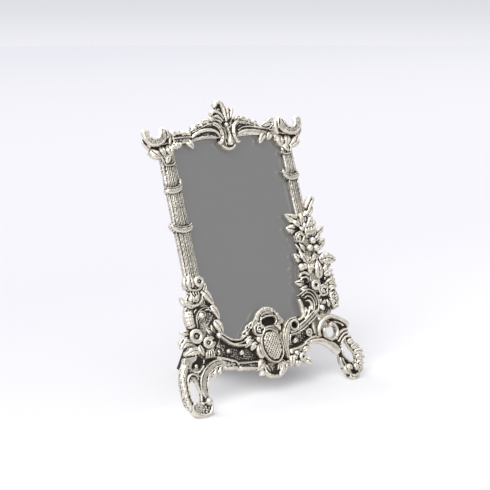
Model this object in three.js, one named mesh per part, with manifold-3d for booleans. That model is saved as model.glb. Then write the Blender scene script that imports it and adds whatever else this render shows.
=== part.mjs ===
// A standing table mirror in the rococo manner: cast pewter-coloured mounts soldered round a shallow tray,
// a bevel-free mirror in the tray, and a velvet-covered back board with a folding easel strut.
// Millimetres, +Z up. The mirror leans back, so its parts are drawn flat in a leaning group:
// x across, y up the leaning plane, z out of its face. The group's z = 0 passes through the foot contacts.
import * as THREE from "three";
import { mergeVertices } from "three/addons/utils/BufferGeometryUtils.js";
import Module from "manifold-3d";

const wasm = await Module();
wasm.setup();

// ---- driving dimensions ----
const LEAN = THREE.MathUtils.degToRad(21.3);
const GAP = 0.3; // clearance between neighbouring pieces

const FACE = -2.8; // front of the structural castings
const CAST_BACK = -7.4; // their flat back
const MOUNT_BACK = FACE + GAP; // back of the mounts that are soldered on the front
const PILLAR_IN = 49.8;
const PILLAR_OUT = 61.8;
const PILLAR_FOOT = 45;
const PILLAR_TOP = 201;
const CREST_FOOT = 209.5;
const CORNER_IN = 49; // where the corner scrolls meet the crest and the feet meet the base
const FOOT_TOP = PILLAR_FOOT - GAP;
const FOOT_FRONT = 0.4;
const OVAL_TOP = 55.5; // the cartouche in the middle of the base
const OVAL_FOOT = 27.5;

const GLASS = { width: 106, height: 168, bottom: 45.5, thick: 2 };
const GLASS_FRONT = CAST_BACK - GAP;
const CARD_FRONT = GLASS_FRONT - GLASS.thick - GAP;
const CARD_THICK = 1;
const PANEL_FRONT = CARD_FRONT - CARD_THICK - GAP;
const PANEL_THICK = 2.5;
const PANEL_BACK = PANEL_FRONT - PANEL_THICK;
const TRAY_BACK = PANEL_BACK;
const TRAY_WALL = 2.6;
const TRAY_IN = GLASS.width / 2 + 0.4;

const HINGE_V = 128; // height of the strut hinge, up the leaning plane
const STRUT_ANGLE = THREE.MathUtils.degToRad(19.3); // from the vertical, when the strut is open
const STRUT_HALF_TOP = 16;
const STRUT_HALF_FOOT = 35;
const STRUT_THICK = 3;
const LEAF_THICK = 0.8;
const KNUCKLE_R = 2;
const PIN_R = 0.9;
const BORE_R = PIN_R + GAP;
const HINGE_Z = PANEL_BACK - GAP - KNUCKLE_R;
const LEAF_HALF = 13;
const MID_KNUCKLE_HALF = 4.7;

const BUTTON = { x: 47.4, heights: [76, 186], reach: 8.6, half: 3.2, thick: 0.8 };
const RIVET = { shank: 1, hole: 1.3, head: 2.2, rise: 0.9 };

// ---- materials ----
const pewter = () => new THREE.MeshStandardMaterial({ color: 0xa79f93, roughness: 0.38, metalness: 1 });
const steel = () => new THREE.MeshStandardMaterial({ color: 0xb8b8b4, roughness: 0.3, metalness: 1 });
const mirror = () => new THREE.MeshStandardMaterial({ color: 0xe6e9ea, roughness: 0.02, metalness: 1 });
const velvet = () => new THREE.MeshStandardMaterial({ color: 0x14130f, roughness: 1, metalness: 0 });
const card = () => new THREE.MeshStandardMaterial({ color: 0x9b8a6c, roughness: 0.95, metalness: 0 });

// ---- solids ----
function solidOf(geometry) {
  const bare = geometry.index ? geometry.toNonIndexed() : geometry.clone();
  bare.deleteAttribute("normal");
  bare.deleteAttribute("uv");
  const merged = mergeVertices(bare, 1e-4);
  return new wasm.Manifold(
    new wasm.Mesh({
      numProp: 3,
      vertProperties: merged.attributes.position.array,
      triVerts: new Uint32Array(merged.index.array),
    }),
  );
}

function geometryOf(solid) {
  const mesh = solid.getMesh();
  const geometry = new THREE.BufferGeometry();
  geometry.setAttribute("position", new THREE.BufferAttribute(mesh.vertProperties, 3));
  geometry.setIndex(new THREE.BufferAttribute(mesh.triVerts, 1));
  return geometry;
}

const join = (solids) => solids.reduce((whole, part) => whole.add(part));
const cut = (solid, tools) => tools.reduce((left, tool) => left.subtract(tool), solid);

// A closed smooth outline through a few points.
function smooth(points, divisions = 6) {
  const curve = new THREE.CatmullRomCurve3(
    points.map(([x, y]) => new THREE.Vector3(x, y, 0)),
    true,
    "centripetal",
  );
  return curve.getPoints(points.length * divisions).slice(0, -1).map((p) => new THREE.Vector2(p.x, p.y));
}

// A flat plate of the given outline between two depths, with its front edge bevelled when asked.
function plate(points, back, front, bevel = 0) {
  const shape = new THREE.Shape(points.map((p) => (Array.isArray(p) ? new THREE.Vector2(...p) : p)));
  const geometry = new THREE.ExtrudeGeometry(shape, {
    depth: front - back - 2 * bevel,
    bevelEnabled: bevel > 0,
    bevelThickness: bevel,
    bevelSize: bevel,
    bevelOffset: -bevel,
    bevelSegments: 1,
  });
  geometry.translate(0, 0, back + bevel);
  return solidOf(geometry);
}

// A band that follows a smooth centre line, its half-width running from point to point.
function band(stations, back, front, bevel = 0, steps = 5) {
  const line = new THREE.CatmullRomCurve3(
    stations.map(([x, y, half]) => new THREE.Vector3(x, y, half)),
    false,
    "centripetal",
  );
  const count = (stations.length - 1) * steps;
  const left = [];
  const right = [];
  for (let i = 0; i <= count; i++) {
    const at = line.getPoint(i / count);
    const along = line.getTangent(i / count).setZ(0).normalize();
    left.push(new THREE.Vector2(at.x - along.y * at.z, at.y + along.x * at.z));
    right.unshift(new THREE.Vector2(at.x + along.y * at.z, at.y - along.x * at.z));
  }
  return plate([...left, ...right], back, front, bevel);
}

// A round bar along z (or along x when lying), from one end to the other.
function bar(radius, from, to, x = 0, y = 0, sides = 20) {
  const geometry = new THREE.CylinderGeometry(radius, radius, to - from, sides);
  geometry.rotateX(Math.PI / 2);
  geometry.translate(x, y, (from + to) / 2);
  return solidOf(geometry);
}

function lyingBar(radius, from, to, y, z, sides = 20) {
  const geometry = new THREE.CylinderGeometry(radius, radius, to - from, sides);
  geometry.rotateZ(Math.PI / 2);
  geometry.translate((from + to) / 2, y, z);
  return solidOf(geometry);
}

function block(x0, x1, y0, y1, z0, z1) {
  const geometry = new THREE.BoxGeometry(x1 - x0, y1 - y0, z1 - z0);
  geometry.translate((x0 + x1) / 2, (y0 + y1) / 2, (z0 + z1) / 2);
  return solidOf(geometry);
}

// The part of a solid that lies between two heights and within a half-width of the middle.
const within = (solid, halfWidth, y0, y1) => solid.intersect(block(-halfWidth, halfWidth, y0, y1, -30, 30));

const flipped = (points) => points.map(([x, ...rest]) => [-x, ...rest]);

// Everything below the table, in the leaning group's own coordinates.
function belowTable() {
  const geometry = new THREE.BoxGeometry(400, 100, 400);
  geometry.translate(0, -50, 0);
  geometry.rotateX(LEAN);
  return solidOf(geometry);
}

// ---- the leaning half: castings, tray, glass and back board ----
const leaning = new THREE.Group();
leaning.rotation.x = Math.PI / 2 - LEAN;

function add(group, name, solid, material, turn) {
  const mesh = new THREE.Mesh(geometryOf(solid), material);
  mesh.name = name;
  if (turn) mesh.position.set(...turn);
  group.add(mesh);
  return mesh;
}

function crestRail() {
  const half = [
    [8, 222],
    [16, 226],
    [26, 221.5],
    [38, 218.5],
    [48.2, 219.5],
    [48.2, CREST_FOOT],
    [36, CREST_FOOT],
    [16, CREST_FOOT + 1],
  ];
  const outline = [...half, ...flipped(half).reverse()];
  return within(plate(smooth(outline, 4), CAST_BACK, FACE, 1), CORNER_IN - GAP, 200, 230);
}

// Lobed shell on top of the crest, with a bud hanging from it over the glass.
function shellFinial() {
  const outline = [
    [0, 199],
    [4.5, 203],
    [5, 212],
    [6, 222],
    [11, 230],
    [9, 235],
    [4, 234],
    [1, 239],
    [-4, 241.5],
    [-9, 238],
    [-13, 232],
    [-13, 228],
    [-7, 222],
    [-5, 212],
    [-4.5, 203],
  ];
  return plate(smooth(outline, 4), MOUNT_BACK, 1.6, 1);
}

// C-scroll lying on its back on top of a pillar, with the leaf capital under it.
function cornerScroll(side) {
  const scroll = [
    [71, 221, 2],
    [73.4, 214.5, 3.2],
    [69, 208, 4],
    [62, 206, 4.4],
    [55, 208.5, 4.2],
    [52.4, 215, 3.2],
    [56, 220.6, 2],
  ];
  const capital = [
    [50.5, 201.6],
    [66, 201.6],
    [70, 206],
    [62, 210],
    [50.5, 208],
  ];
  const turned = side < 0 ? flipped(scroll) : scroll;
  const cap = side < 0 ? flipped(capital) : capital;
  const whole = join([band(turned, CAST_BACK, 0.5, 0.8), plate(cap, CAST_BACK, -1.2)]);
  return cut(whole, [block(-CORNER_IN, CORNER_IN, 190, 240, -20, 20)]);
}

// Square pillar with a bead at the outer edge, and collars that divide it into lengths of cane.
function pillar(side, collarHeights) {
  const x = (u) => side * u;
  const span = (a, b) => [Math.min(x(a), x(b)), Math.max(x(a), x(b))];
  const shaft = block(...span(PILLAR_IN, PILLAR_OUT), PILLAR_FOOT, PILLAR_TOP, CAST_BACK, FACE - 1);
  const face = block(...span(PILLAR_IN + 1, PILLAR_OUT - 1.4), PILLAR_FOOT, PILLAR_TOP, FACE - 1.5, FACE);
  const collars = collarHeights.map((v) =>
    block(...span(PILLAR_IN - 1.2, PILLAR_OUT + 0.8), v, v + 3.2, CAST_BACK, FACE + 0.9),
  );
  return join([shaft, face, ...collars]);
}

// Bottom rail under the glass, rising behind the shell in the middle.
function baseRail() {
  const outline = [
    [-49, 44.5],
    [-44, 54],
    [-34, 54],
    [-24, 51.5],
    [-15, 58],
    [-7, 68],
    [1, 71.5],
    [9, 68],
    [16, 58],
    [26, 58],
    [38, 60],
    [47, 54],
    [49, 44.5],
    [49, 36],
    [34, 33],
    [16, 28],
    [1, 25],
    [-14, 27],
    [-34, 31],
    [-49, 34],
  ];
  return within(plate(smooth(outline, 4), CAST_BACK, FACE, 1), CORNER_IN - GAP, 0, 80);
}

// Scrolled foot: a broad C-scroll on the outside and the rib that carries the arch on the inside.
function footScroll(side) {
  const broad = [
    [66, 44, 4],
    [76, 41, 4.4],
    [82.5, 32, 4.4],
    [84, 20, 4.6],
    [81, 9.6, 4.4],
    [75, 3.4, 4.2],
    [68, 5.8, 3],
    [64.6, 13, 2.4],
  ];
  const rib = [
    [50, 39.6, 3.2],
    [57, 39, 3.6],
    [64, 33, 3.8],
    [67, 24, 3.4],
    [66, 13, 3.4],
  ];
  const turned = (stations) => (side < 0 ? flipped(stations) : stations);
  const volute = bar(7, CAST_BACK, FOOT_FRONT + 1, side * 62, 41);
  const whole = join([
    band(turned(broad), CAST_BACK + 1, FOOT_FRONT, 0.8),
    band(turned(rib), CAST_BACK + 1, FOOT_FRONT, 0.8),
    volute,
  ]);
  const trimmed = within(whole, 100, -20, FOOT_TOP);
  return cut(trimmed, [belowTable(), block(-CORNER_IN, CORNER_IN, 0, 60, -20, 20)]);
}

// Leaves, a gadrooned scroll and three flowers on the lower left of the frame.
function leafCluster() {
  const outline = [
    [-60, 108],
    [-51, 104],
    [-46, 92],
    [-41, 82],
    [-39, 70],
    [-37, 57],
    [-46, 49.5],
    [-60, 50],
    [-71, 52],
    [-75, 60],
    [-70, 68],
    [-69, 78],
    [-73, 87],
    [-64, 92],
  ];
  return plate(smooth(outline, 4), MOUNT_BACK, 2.2, 1);
}

// Tall bouquet that climbs the lower half of the right pillar.
function flowerSpray() {
  const outline = [
    [49, 60],
    [46, 70],
    [44, 80],
    [41.5, 87],
    [45, 96],
    [43, 106],
    [46, 118],
    [42.5, 129],
    [44, 140],
    [53, 141],
    [60, 145],
    [69, 155],
    [72, 152],
    [63, 138],
    [70, 128],
    [73, 122],
    [66, 112],
    [75, 106],
    [82, 100],
    [76, 92],
    [76, 76],
    [72, 62],
    [60, 58.5],
  ];
  return plate(smooth(outline, 4), MOUNT_BACK, 3.6, 1);
}

// Oval boss with a raised rim in the middle of the base.
function cartouche() {
  const oval = (rx, ry) => {
    const curve = new THREE.EllipseCurve(1, (OVAL_TOP + OVAL_FOOT) / 2, rx, ry);
    return curve.getPoints(40).slice(0, -1);
  };
  const rise = (OVAL_TOP - OVAL_FOOT) / 2;
  return join([plate(oval(9.4, rise), MOUNT_BACK, 2.4, 0.8), plate(oval(6.8, rise - 3), 2, 4, 0.9)]);
}

// Scallop shell between the cartouche and the glass, with its dark slot.
function baseShell() {
  const outline = [
    [-14, 57],
    [-11, 65],
    [-5, 71.6],
    [1.4, 73.2],
    [8, 71.6],
    [14, 65],
    [16.5, 57],
  ];
  const shell = plate(smooth(outline, 5), MOUNT_BACK, 2.4, 0.9);
  return cut(within(shell, 30, OVAL_TOP + GAP, 80), [block(-4.6, 7, 58.6, 62.8, -0.6, 6)]);
}

// Ribbed lobe that hangs under the cartouche.
function baseDrop() {
  const outline = [
    [-12, 26.6],
    [-7, 18.5],
    [2, 15.6],
    [11, 18.5],
    [15, 26.6],
  ];
  return within(plate(smooth(outline, 5), MOUNT_BACK, 1.4, 0.9), 30, 0, OVAL_FOOT - GAP);
}

// Acanthus C-scroll to the right of the cartouche, with the long leaf that rises from it.
function acanthusScroll() {
  const scroll = [
    [19, 31, 2.6],
    [14.8, 37, 2.8],
    [15, 47, 3],
    [21, 55, 3],
    [28, 54, 2.6],
    [38, 57, 2.6],
    [48, 61, 2],
  ];
  return band(scroll, MOUNT_BACK, 2.2, 0.8);
}

// The four rails of the rear tray, which the glass and the back board drop into.
function trayRails() {
  const bottom = GLASS.bottom - 0.4;
  const top = GLASS.bottom + GLASS.height + 0.4;
  const outer = TRAY_IN + TRAY_WALL;
  const depth = [TRAY_BACK, CAST_BACK - GAP];
  return {
    left_tray_rail: block(-outer, -TRAY_IN, bottom, top, ...depth),
    right_tray_rail: block(TRAY_IN, outer, bottom, top, ...depth),
    bottom_tray_rail: block(-outer, outer, bottom - GAP - TRAY_WALL, bottom - GAP, ...depth),
    top_tray_rail: block(-outer, outer, top + GAP, top + GAP + TRAY_WALL, ...depth),
  };
}

function sheet(back, front, inset = 0) {
  const half = GLASS.width / 2 - inset;
  return block(-half, half, GLASS.bottom + inset, GLASS.bottom + GLASS.height - inset, back, front);
}

// Places of the four turn buttons and of the two rivets of each hinge leaf.
const buttonPlaces = BUTTON.heights.flatMap((y) => [-1, 1].map((side) => [side * BUTTON.x, y, side]));
const backRivets = [-1, 1].map((side) => [side * 9, HINGE_V + 8.5]);
const strutRivets = [-1, 1].map((side) => [side * 8, -9]);

function backPanel() {
  const holes = [...buttonPlaces, ...backRivets].map(([x, y]) =>
    bar(RIVET.hole, PANEL_BACK - 1, PANEL_FRONT + 1, x, y, 16),
  );
  return cut(sheet(PANEL_BACK, PANEL_FRONT), holes);
}

// Domed head behind the sheet that it holds, with a plain shank through the hole.
function rivet(x, y, underHead, shankEnd) {
  const profile = [
    [0, shankEnd],
    [RIVET.shank, shankEnd],
    [RIVET.shank, underHead],
    [RIVET.head, underHead],
    [RIVET.head * 0.78, underHead - RIVET.rise * 0.65],
    [0, underHead - RIVET.rise],
  ];
  const geometry = new THREE.LatheGeometry(profile.map(([r, z]) => new THREE.Vector2(r, -z)), 20);
  geometry.rotateX(-Math.PI / 2);
  geometry.translate(x, y, 0);
  return solidOf(geometry);
}

function buttonScrew(x, y) {
  const underHead = PANEL_BACK - GAP - BUTTON.thick - GAP;
  const head = rivet(x, y, underHead, PANEL_FRONT - 0.4);
  const slot = block(x - 3, x + 3, y - 0.35, y + 0.35, underHead - 3, underHead - 0.45);
  return cut(head, [slot]);
}

// Flat tab that pivots on the back board and reaches over the tray rail.
function turnButton() {
  const { reach, half } = BUTTON;
  const outline = [
    [-half, 0],
    [-half * 0.7, half * 0.75],
    [0, half],
    [reach * 0.6, half * 0.8],
    [reach, half * 0.45],
    [reach, -half * 0.45],
    [reach * 0.6, -half * 0.8],
    [0, -half],
    [-half * 0.7, -half * 0.75],
  ];
  const tab = plate(smooth(outline, 3).reverse(), -BUTTON.thick, 0);
  return cut(tab, [bar(RIVET.hole, -2, 1, 0, 0, 16)]);
}

// Upper leaf of the strut hinge: a plate on the back board with a knuckle at each side.
function backLeaf() {
  const front = PANEL_BACK - GAP;
  const body = block(-LEAF_HALF, LEAF_HALF, HINGE_V, HINGE_V + 13, front - LEAF_THICK, front);
  const knuckles = [
    lyingBar(KNUCKLE_R, -LEAF_HALF, -MID_KNUCKLE_HALF - GAP, HINGE_V, HINGE_Z),
    lyingBar(KNUCKLE_R, MID_KNUCKLE_HALF + GAP, LEAF_HALF, HINGE_V, HINGE_Z),
  ];
  const notchHalf = MID_KNUCKLE_HALF + GAP;
  const notch = block(-notchHalf, notchHalf, HINGE_V - 4, HINGE_V + 2.6, HINGE_Z - 4, front + 1);
  const bore = lyingBar(BORE_R, -30, 30, HINGE_V, HINGE_Z);
  const holes = backRivets.map(([x, y]) => bar(RIVET.hole, front - 3, front + 3, x, y, 16));
  return cut(join([body, ...knuckles]), [notch, bore, ...holes]);
}

add(leaning, "crest_rail", crestRail(), pewter());
add(leaning, "shell_finial", shellFinial(), pewter());
add(leaning, "base_rail", baseRail(), pewter());
add(leaning, "base_shell", baseShell(), pewter());
add(leaning, "base_drop", baseDrop(), pewter());
add(leaning, "cartouche", cartouche(), pewter());
add(leaning, "acanthus_scroll", acanthusScroll(), pewter());
add(leaning, "leaf_cluster", leafCluster(), pewter());
add(leaning, "flower_spray", flowerSpray(), pewter());
for (const [word, side] of [["left", -1], ["right", 1]]) {
  add(leaning, `${word}_corner_scroll`, cornerScroll(side), pewter());
  add(leaning, `${word}_pillar`, pillar(side, side < 0 ? [140, 173, 197] : [173, 197]), pewter());
  add(leaning, `${word}_foot_scroll`, footScroll(side), pewter());
}
for (const [name, rail] of Object.entries(trayRails())) add(leaning, name, rail, pewter());
add(leaning, "mirror_glass", sheet(GLASS_FRONT - GLASS.thick, GLASS_FRONT), mirror());
add(leaning, "packing_card", sheet(CARD_FRONT - CARD_THICK, CARD_FRONT, 0.8), card());
add(leaning, "back_panel", backPanel(), velvet());
add(leaning, "hinge_back_leaf", backLeaf(), steel());
add(leaning, "hinge_pin", lyingBar(PIN_R, -LEAF_HALF - 0.8, LEAF_HALF + 0.8, HINGE_V, HINGE_Z), steel());
backRivets.forEach(([x, y], i) => {
  const underHead = PANEL_BACK - GAP - LEAF_THICK - GAP;
  add(leaning, `back_leaf_rivet_${i + 1}`, rivet(x, y, underHead, PANEL_FRONT - 0.4), steel());
});
buttonPlaces.forEach(([x, y, side], i) => {
  const button = add(leaning, `turn_button_${i + 1}`, turnButton(), steel(), [x, y, PANEL_BACK - GAP]);
  if (side < 0) button.rotation.z = Math.PI;
  add(leaning, `button_screw_${i + 1}`, buttonScrew(x, y), steel());
});

// ---- the easel strut: drawn from the hinge axis, y up the strut, z towards the frame ----
const strut = new THREE.Group();
strut.rotation.x = Math.PI / 2 + STRUT_ANGLE;
const hingeHeight = HINGE_V * Math.cos(LEAN) + HINGE_Z * Math.sin(LEAN);
const hingeDepth = HINGE_V * Math.sin(LEAN) - HINGE_Z * Math.cos(LEAN);
strut.position.set(0, hingeDepth, hingeHeight);
const OPEN = LEAN + STRUT_ANGLE;
const leafFront = KNUCKLE_R;
const boardFront = leafFront - LEAF_THICK - GAP;
const boardBack = boardFront - STRUT_THICK;

// The table as the strut sees it.
function tableUnderStrut() {
  const geometry = new THREE.BoxGeometry(400, 100, 400);
  geometry.rotateX(Math.PI / 2);
  geometry.translate(0, 0, -50 - hingeHeight);
  geometry.rotateX(-strut.rotation.x);
  return solidOf(geometry);
}

function strutBoard() {
  const reach = hingeHeight / Math.cos(STRUT_ANGLE) + 4;
  const top = -KNUCKLE_R - 0.6;
  const outline = [
    [-STRUT_HALF_TOP, top],
    [-STRUT_HALF_FOOT, -reach],
    [STRUT_HALF_FOOT, -reach],
    [STRUT_HALF_TOP, top],
  ];
  const holes = strutRivets.map(([x, y]) => bar(RIVET.hole, boardBack - 1, boardFront + 1, x, y, 16));
  return cut(plate(outline, boardBack, boardFront), [...holes, tableUnderStrut()]);
}

// Lower leaf: plate on the strut, middle knuckle, and the heel that stops against the upper leaf.
function strutLeaf() {
  const body = block(-LEAF_HALF, LEAF_HALF, -14, -KNUCKLE_R - 0.6, leafFront - LEAF_THICK, leafFront);
  const half = MID_KNUCKLE_HALF;
  const tongue = block(-half, half, -5, 0, leafFront - LEAF_THICK, leafFront);
  const knuckle = lyingBar(KNUCKLE_R, -half, half, 0, 0);
  const heelFront = KNUCKLE_R - LEAF_THICK - GAP;
  const heel = block(-half + 0.4, half - 0.4, 0, 7.5, heelFront - LEAF_THICK, heelFront);
  const turned = heel.rotate([-THREE.MathUtils.radToDeg(OPEN), 0, 0]);
  const holes = strutRivets.map(([x, y]) => bar(RIVET.hole, -3, 5, x, y, 16));
  return cut(join([body, tongue, knuckle, turned]), [lyingBar(BORE_R, -30, 30, 0, 0), ...holes]);
}

add(strut, "strut_board", strutBoard(), velvet());
add(strut, "hinge_strut_leaf", strutLeaf(), steel());
strutRivets.forEach(([x, y], i) => {
  add(strut, `strut_leaf_rivet_${i + 1}`, rivet(x, y, boardBack - GAP, leafFront - 0.2), steel());
});

// ---- the whole mirror, its box centred over the origin with the feet on z = 0 ----
const tableMirror = new THREE.Group();
tableMirror.add(leaning, strut);
tableMirror.updateMatrixWorld(true);
const box = new THREE.Box3().setFromObject(tableMirror, true);
tableMirror.position.set(-(box.min.x + box.max.x) / 2, -(box.min.y + box.max.y) / 2, 0);

export default tableMirror;
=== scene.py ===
# The looks of an easel-back table mirror in the rococo manner: cast ornament, mirror, velvet and hinge.
# Ornament is drawn in the frame's leaning plane, in millimetres: u across, v up the plane, r out of its face.
import math

import bpy
import numpy as np
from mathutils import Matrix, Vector
from mathutils.bvhtree import BVHTree


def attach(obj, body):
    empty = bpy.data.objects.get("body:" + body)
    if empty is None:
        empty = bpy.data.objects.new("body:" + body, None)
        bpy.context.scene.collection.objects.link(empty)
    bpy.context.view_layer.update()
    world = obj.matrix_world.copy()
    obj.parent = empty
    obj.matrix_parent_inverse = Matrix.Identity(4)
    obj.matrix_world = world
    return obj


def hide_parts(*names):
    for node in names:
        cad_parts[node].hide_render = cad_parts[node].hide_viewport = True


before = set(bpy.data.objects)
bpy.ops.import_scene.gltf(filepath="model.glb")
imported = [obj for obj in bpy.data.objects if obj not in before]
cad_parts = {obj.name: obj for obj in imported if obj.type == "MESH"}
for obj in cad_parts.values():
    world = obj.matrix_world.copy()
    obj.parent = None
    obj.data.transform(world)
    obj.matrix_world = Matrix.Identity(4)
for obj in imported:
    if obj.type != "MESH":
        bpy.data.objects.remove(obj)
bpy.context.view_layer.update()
MM = 0.001

# ---- the leaning plane, taken from the glass in the CAD frame ----
GLASS_FOOT = 45.5  # height of the glass's lower edge up the plane
GLASS_BACK = -9.7  # back of the glass
CAST_BACK = -7.4  # flat back of the castings

glass = np.array([v.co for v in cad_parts["mirror_glass"].data.vertices]) / MM
low, high = glass[glass[:, 2].argmin()], glass[glass[:, 1].argmax()]
up = (high - low) * (0, 1, 1)
up /= np.linalg.norm(up)
out = np.array([0, -up[2], up[1]])
origin = low * (0, 1, 1) - GLASS_FOOT * up - GLASS_BACK * out
PLANE = np.array([[1, 0, 0], up, out])


def to_frame(points):
    """Points of the leaning plane in millimetres as points of the row frame in metres."""
    return (np.asarray(points) @ PLANE + origin) * MM


# ---- closed shapes: each returns (vertices, faces) ----
TUBE_STEP = 0.5
LEAF_POINT = 0.7  # below 1, a leaf is broadest nearer its stem
BALL_SIDES = 12
VOLUTE_HEART = 0.26  # radius of a scroll's inner end, as a share of its outer radius


def smooth_path(rows, step=0.6):
    """A smooth line through the rows; columns after the first two or three ride along."""
    rows = np.asarray(rows, float)
    gaps = np.linalg.norm(np.diff(rows[:, :2], axis=0), axis=1)
    at = np.concatenate([[0], np.cumsum(np.sqrt(gaps + 1e-9))])
    fine = np.linspace(0, at[-1], max(3, int(gaps.sum() / step) + 1))
    slope = np.gradient(rows, at, axis=0)
    i = np.clip(np.searchsorted(at, fine, side="right") - 1, 0, len(at) - 2)
    span = (at[i + 1] - at[i])[:, None]
    s = ((fine - at[i]) / (at[i + 1] - at[i]))[:, None]
    return (
        rows[i] * (2 * s**3 - 3 * s**2 + 1)
        + rows[i + 1] * (3 * s**2 - 2 * s**3)
        + slope[i] * span * (s**3 - 2 * s**2 + s)
        + slope[i + 1] * span * (s**3 - s**2)
    )


def loft(sections):
    """A closed solid through rings of points, with its two ends capped."""
    sections = np.asarray(sections)
    n, m, _ = sections.shape
    verts = sections.reshape(-1, 3)
    faces = [
        (i * m + j, i * m + (j + 1) % m, (i + 1) * m + (j + 1) % m, (i + 1) * m + j)
        for i in range(n - 1)
        for j in range(m)
    ]
    faces.append(tuple(range(m - 1, -1, -1)))
    faces.append(tuple(range((n - 1) * m, n * m)))
    return verts, faces


def sheet_solid(front, back):
    """A closed solid between two grids of points of the same size."""
    n, m, _ = front.shape
    size = n * m
    verts = np.concatenate([front.reshape(-1, 3), back.reshape(-1, 3)])
    faces = []
    for i in range(n - 1):
        for j in range(m - 1):
            a = i * m + j
            faces.append((a, a + 1, a + m + 1, a + m))
            faces.append((size + a, size + a + m, size + a + m + 1, size + a + 1))
    rim = list(range(m)) + [i * m + m - 1 for i in range(1, n)]
    rim += [(n - 1) * m + j for j in range(m - 2, -1, -1)] + [i * m for i in range(n - 2, 0, -1)]
    for a, b in zip(rim, rim[1:] + rim[:1]):
        faces.append((a, size + a, size + b, b))
    return verts, faces


def slab(outline, back, front, smooth=True):
    """A flat plate with the given outline."""
    if smooth:
        closed = list(outline) + [outline[0]]
        outline = smooth_path(closed, 1.0)[:-1]
    outline = np.asarray(outline, float)
    rings = [np.column_stack([outline, np.full(len(outline), r)]) for r in (back, front)]
    return loft(rings)


def round_profile(x):
    """A half-round band."""
    return np.sqrt(np.clip(1 - x**2, 0, 1))


def cove_profile(x):
    """A raised lip along each edge with a hollow between, as on a C-scroll."""
    lips = np.exp(-(((np.abs(x) - 0.72) / 0.2) ** 2))
    return np.clip(1 - np.abs(x) ** 6, 0, 1) * (0.5 + 0.5 * lips)


def ridge_profile(x):
    """Three reeds side by side."""
    return round_profile(x * 0.98) * (0.72 + 0.28 * np.abs(np.cos(1.5 * np.pi * x)))


def lip_profile(x):
    """A band with one raised lip at its left edge."""
    return np.clip(1 - np.abs(x) ** 8, 0, 1) * (0.55 + 0.45 * np.exp(-(((x - 0.6) / 0.28) ** 2)))


def flat_profile(x):
    """A broad band with rolled edges."""
    return np.clip(1 - np.abs(x) ** 5, 0, 1) ** 0.6


def reed_profile(x):
    """A swelling band with shallow reeds along it."""
    return round_profile(x) * (0.9 + 0.1 * np.abs(np.cos(2.5 * np.pi * x)))


def scroll(rows, base=CAST_BACK, profile=round_profile, points=15, step=0.6, ripple=None):
    """A moulded band along a line in the plane. Each row is u, v, half width, height of the crown.

    A ripple of (pitch, depth) gathers the band into gadroons along its length.
    """
    path = smooth_path(rows, step if not ripple else min(step, ripple[0] / 5))
    along = np.gradient(path[:, :2], axis=0)
    along /= np.linalg.norm(along, axis=1)[:, None] + 1e-9
    side = np.column_stack([-along[:, 1], along[:, 0]])
    x = np.sin(np.linspace(-np.pi / 2, np.pi / 2, points))
    shape = profile(x)
    length = np.concatenate([[0], np.cumsum(np.linalg.norm(np.diff(path[:, :2], axis=0), axis=1))])
    sections = []
    for k, (u, v, half, top) in enumerate(path):
        near_end = min(length[k], length[-1] - length[k]) / max(half, 0.3)
        swell = max(0.05, 1 - max(0.0, 1 - near_end) ** 3) ** (1 / 3)
        if ripple:
            furrow = 1 - abs(math.sin(math.pi * length[k] / ripple[0]))
            top -= ripple[1] * furrow
            half *= 1 - 0.12 * ripple[1] * furrow
        across = np.outer(x * half * swell, side[k]) + (u, v)
        crown = base + (top - base) * (0.25 + 0.75 * shape * swell)
        face = np.column_stack([across, crown])
        foot = np.column_stack([across[[-1, 0]], [base, base]])
        sections.append(np.concatenate([face, foot]))
    return loft(sections)


def tube(rows, sides=10):
    """A round bar along a line in space. Each row is u, v, r, radius."""
    path = smooth_path(rows, TUBE_STEP)
    along = np.gradient(path[:, :3], axis=0)
    along /= np.linalg.norm(along, axis=1)[:, None] + 1e-9
    length = np.concatenate([[0], np.cumsum(np.linalg.norm(np.diff(path[:, :3], axis=0), axis=1))])
    angle = np.linspace(0, 2 * np.pi, sides, endpoint=False)
    sections = []
    for k, (u, v, r, radius) in enumerate(path):
        first = np.cross(along[k], (0.1, 0.2, 1))
        first /= np.linalg.norm(first)
        second = np.cross(along[k], first)
        near_end = min(length[k], length[-1] - length[k]) / max(radius, 0.2)
        size = radius * math.sqrt(max(0.03, 1 - max(0.0, 1 - near_end) ** 2))
        ring = np.outer(np.cos(angle), first) + np.outer(np.sin(angle), second)
        sections.append(ring * size + (u, v, r))
    return loft(sections)


def ball(u, v, r, radius, flat=1.0):
    """A bead, squashed towards the plane by flat."""
    angle = np.linspace(0, 2 * np.pi, BALL_SIDES, endpoint=False)
    sections = []
    for tilt in np.linspace(-np.pi / 2 + 0.15, np.pi / 2 - 0.15, 8):
        ring = np.column_stack([np.cos(angle), np.sin(angle)]) * math.cos(tilt) * radius
        height = np.full(BALL_SIDES, math.sin(tilt) * radius * flat)
        sections.append(np.column_stack([ring, height]) + (u, v, r))
    return loft(sections)


def turn_to(angle):
    """The direction at an angle."""
    return np.array([math.cos(angle), math.sin(angle)])


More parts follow.
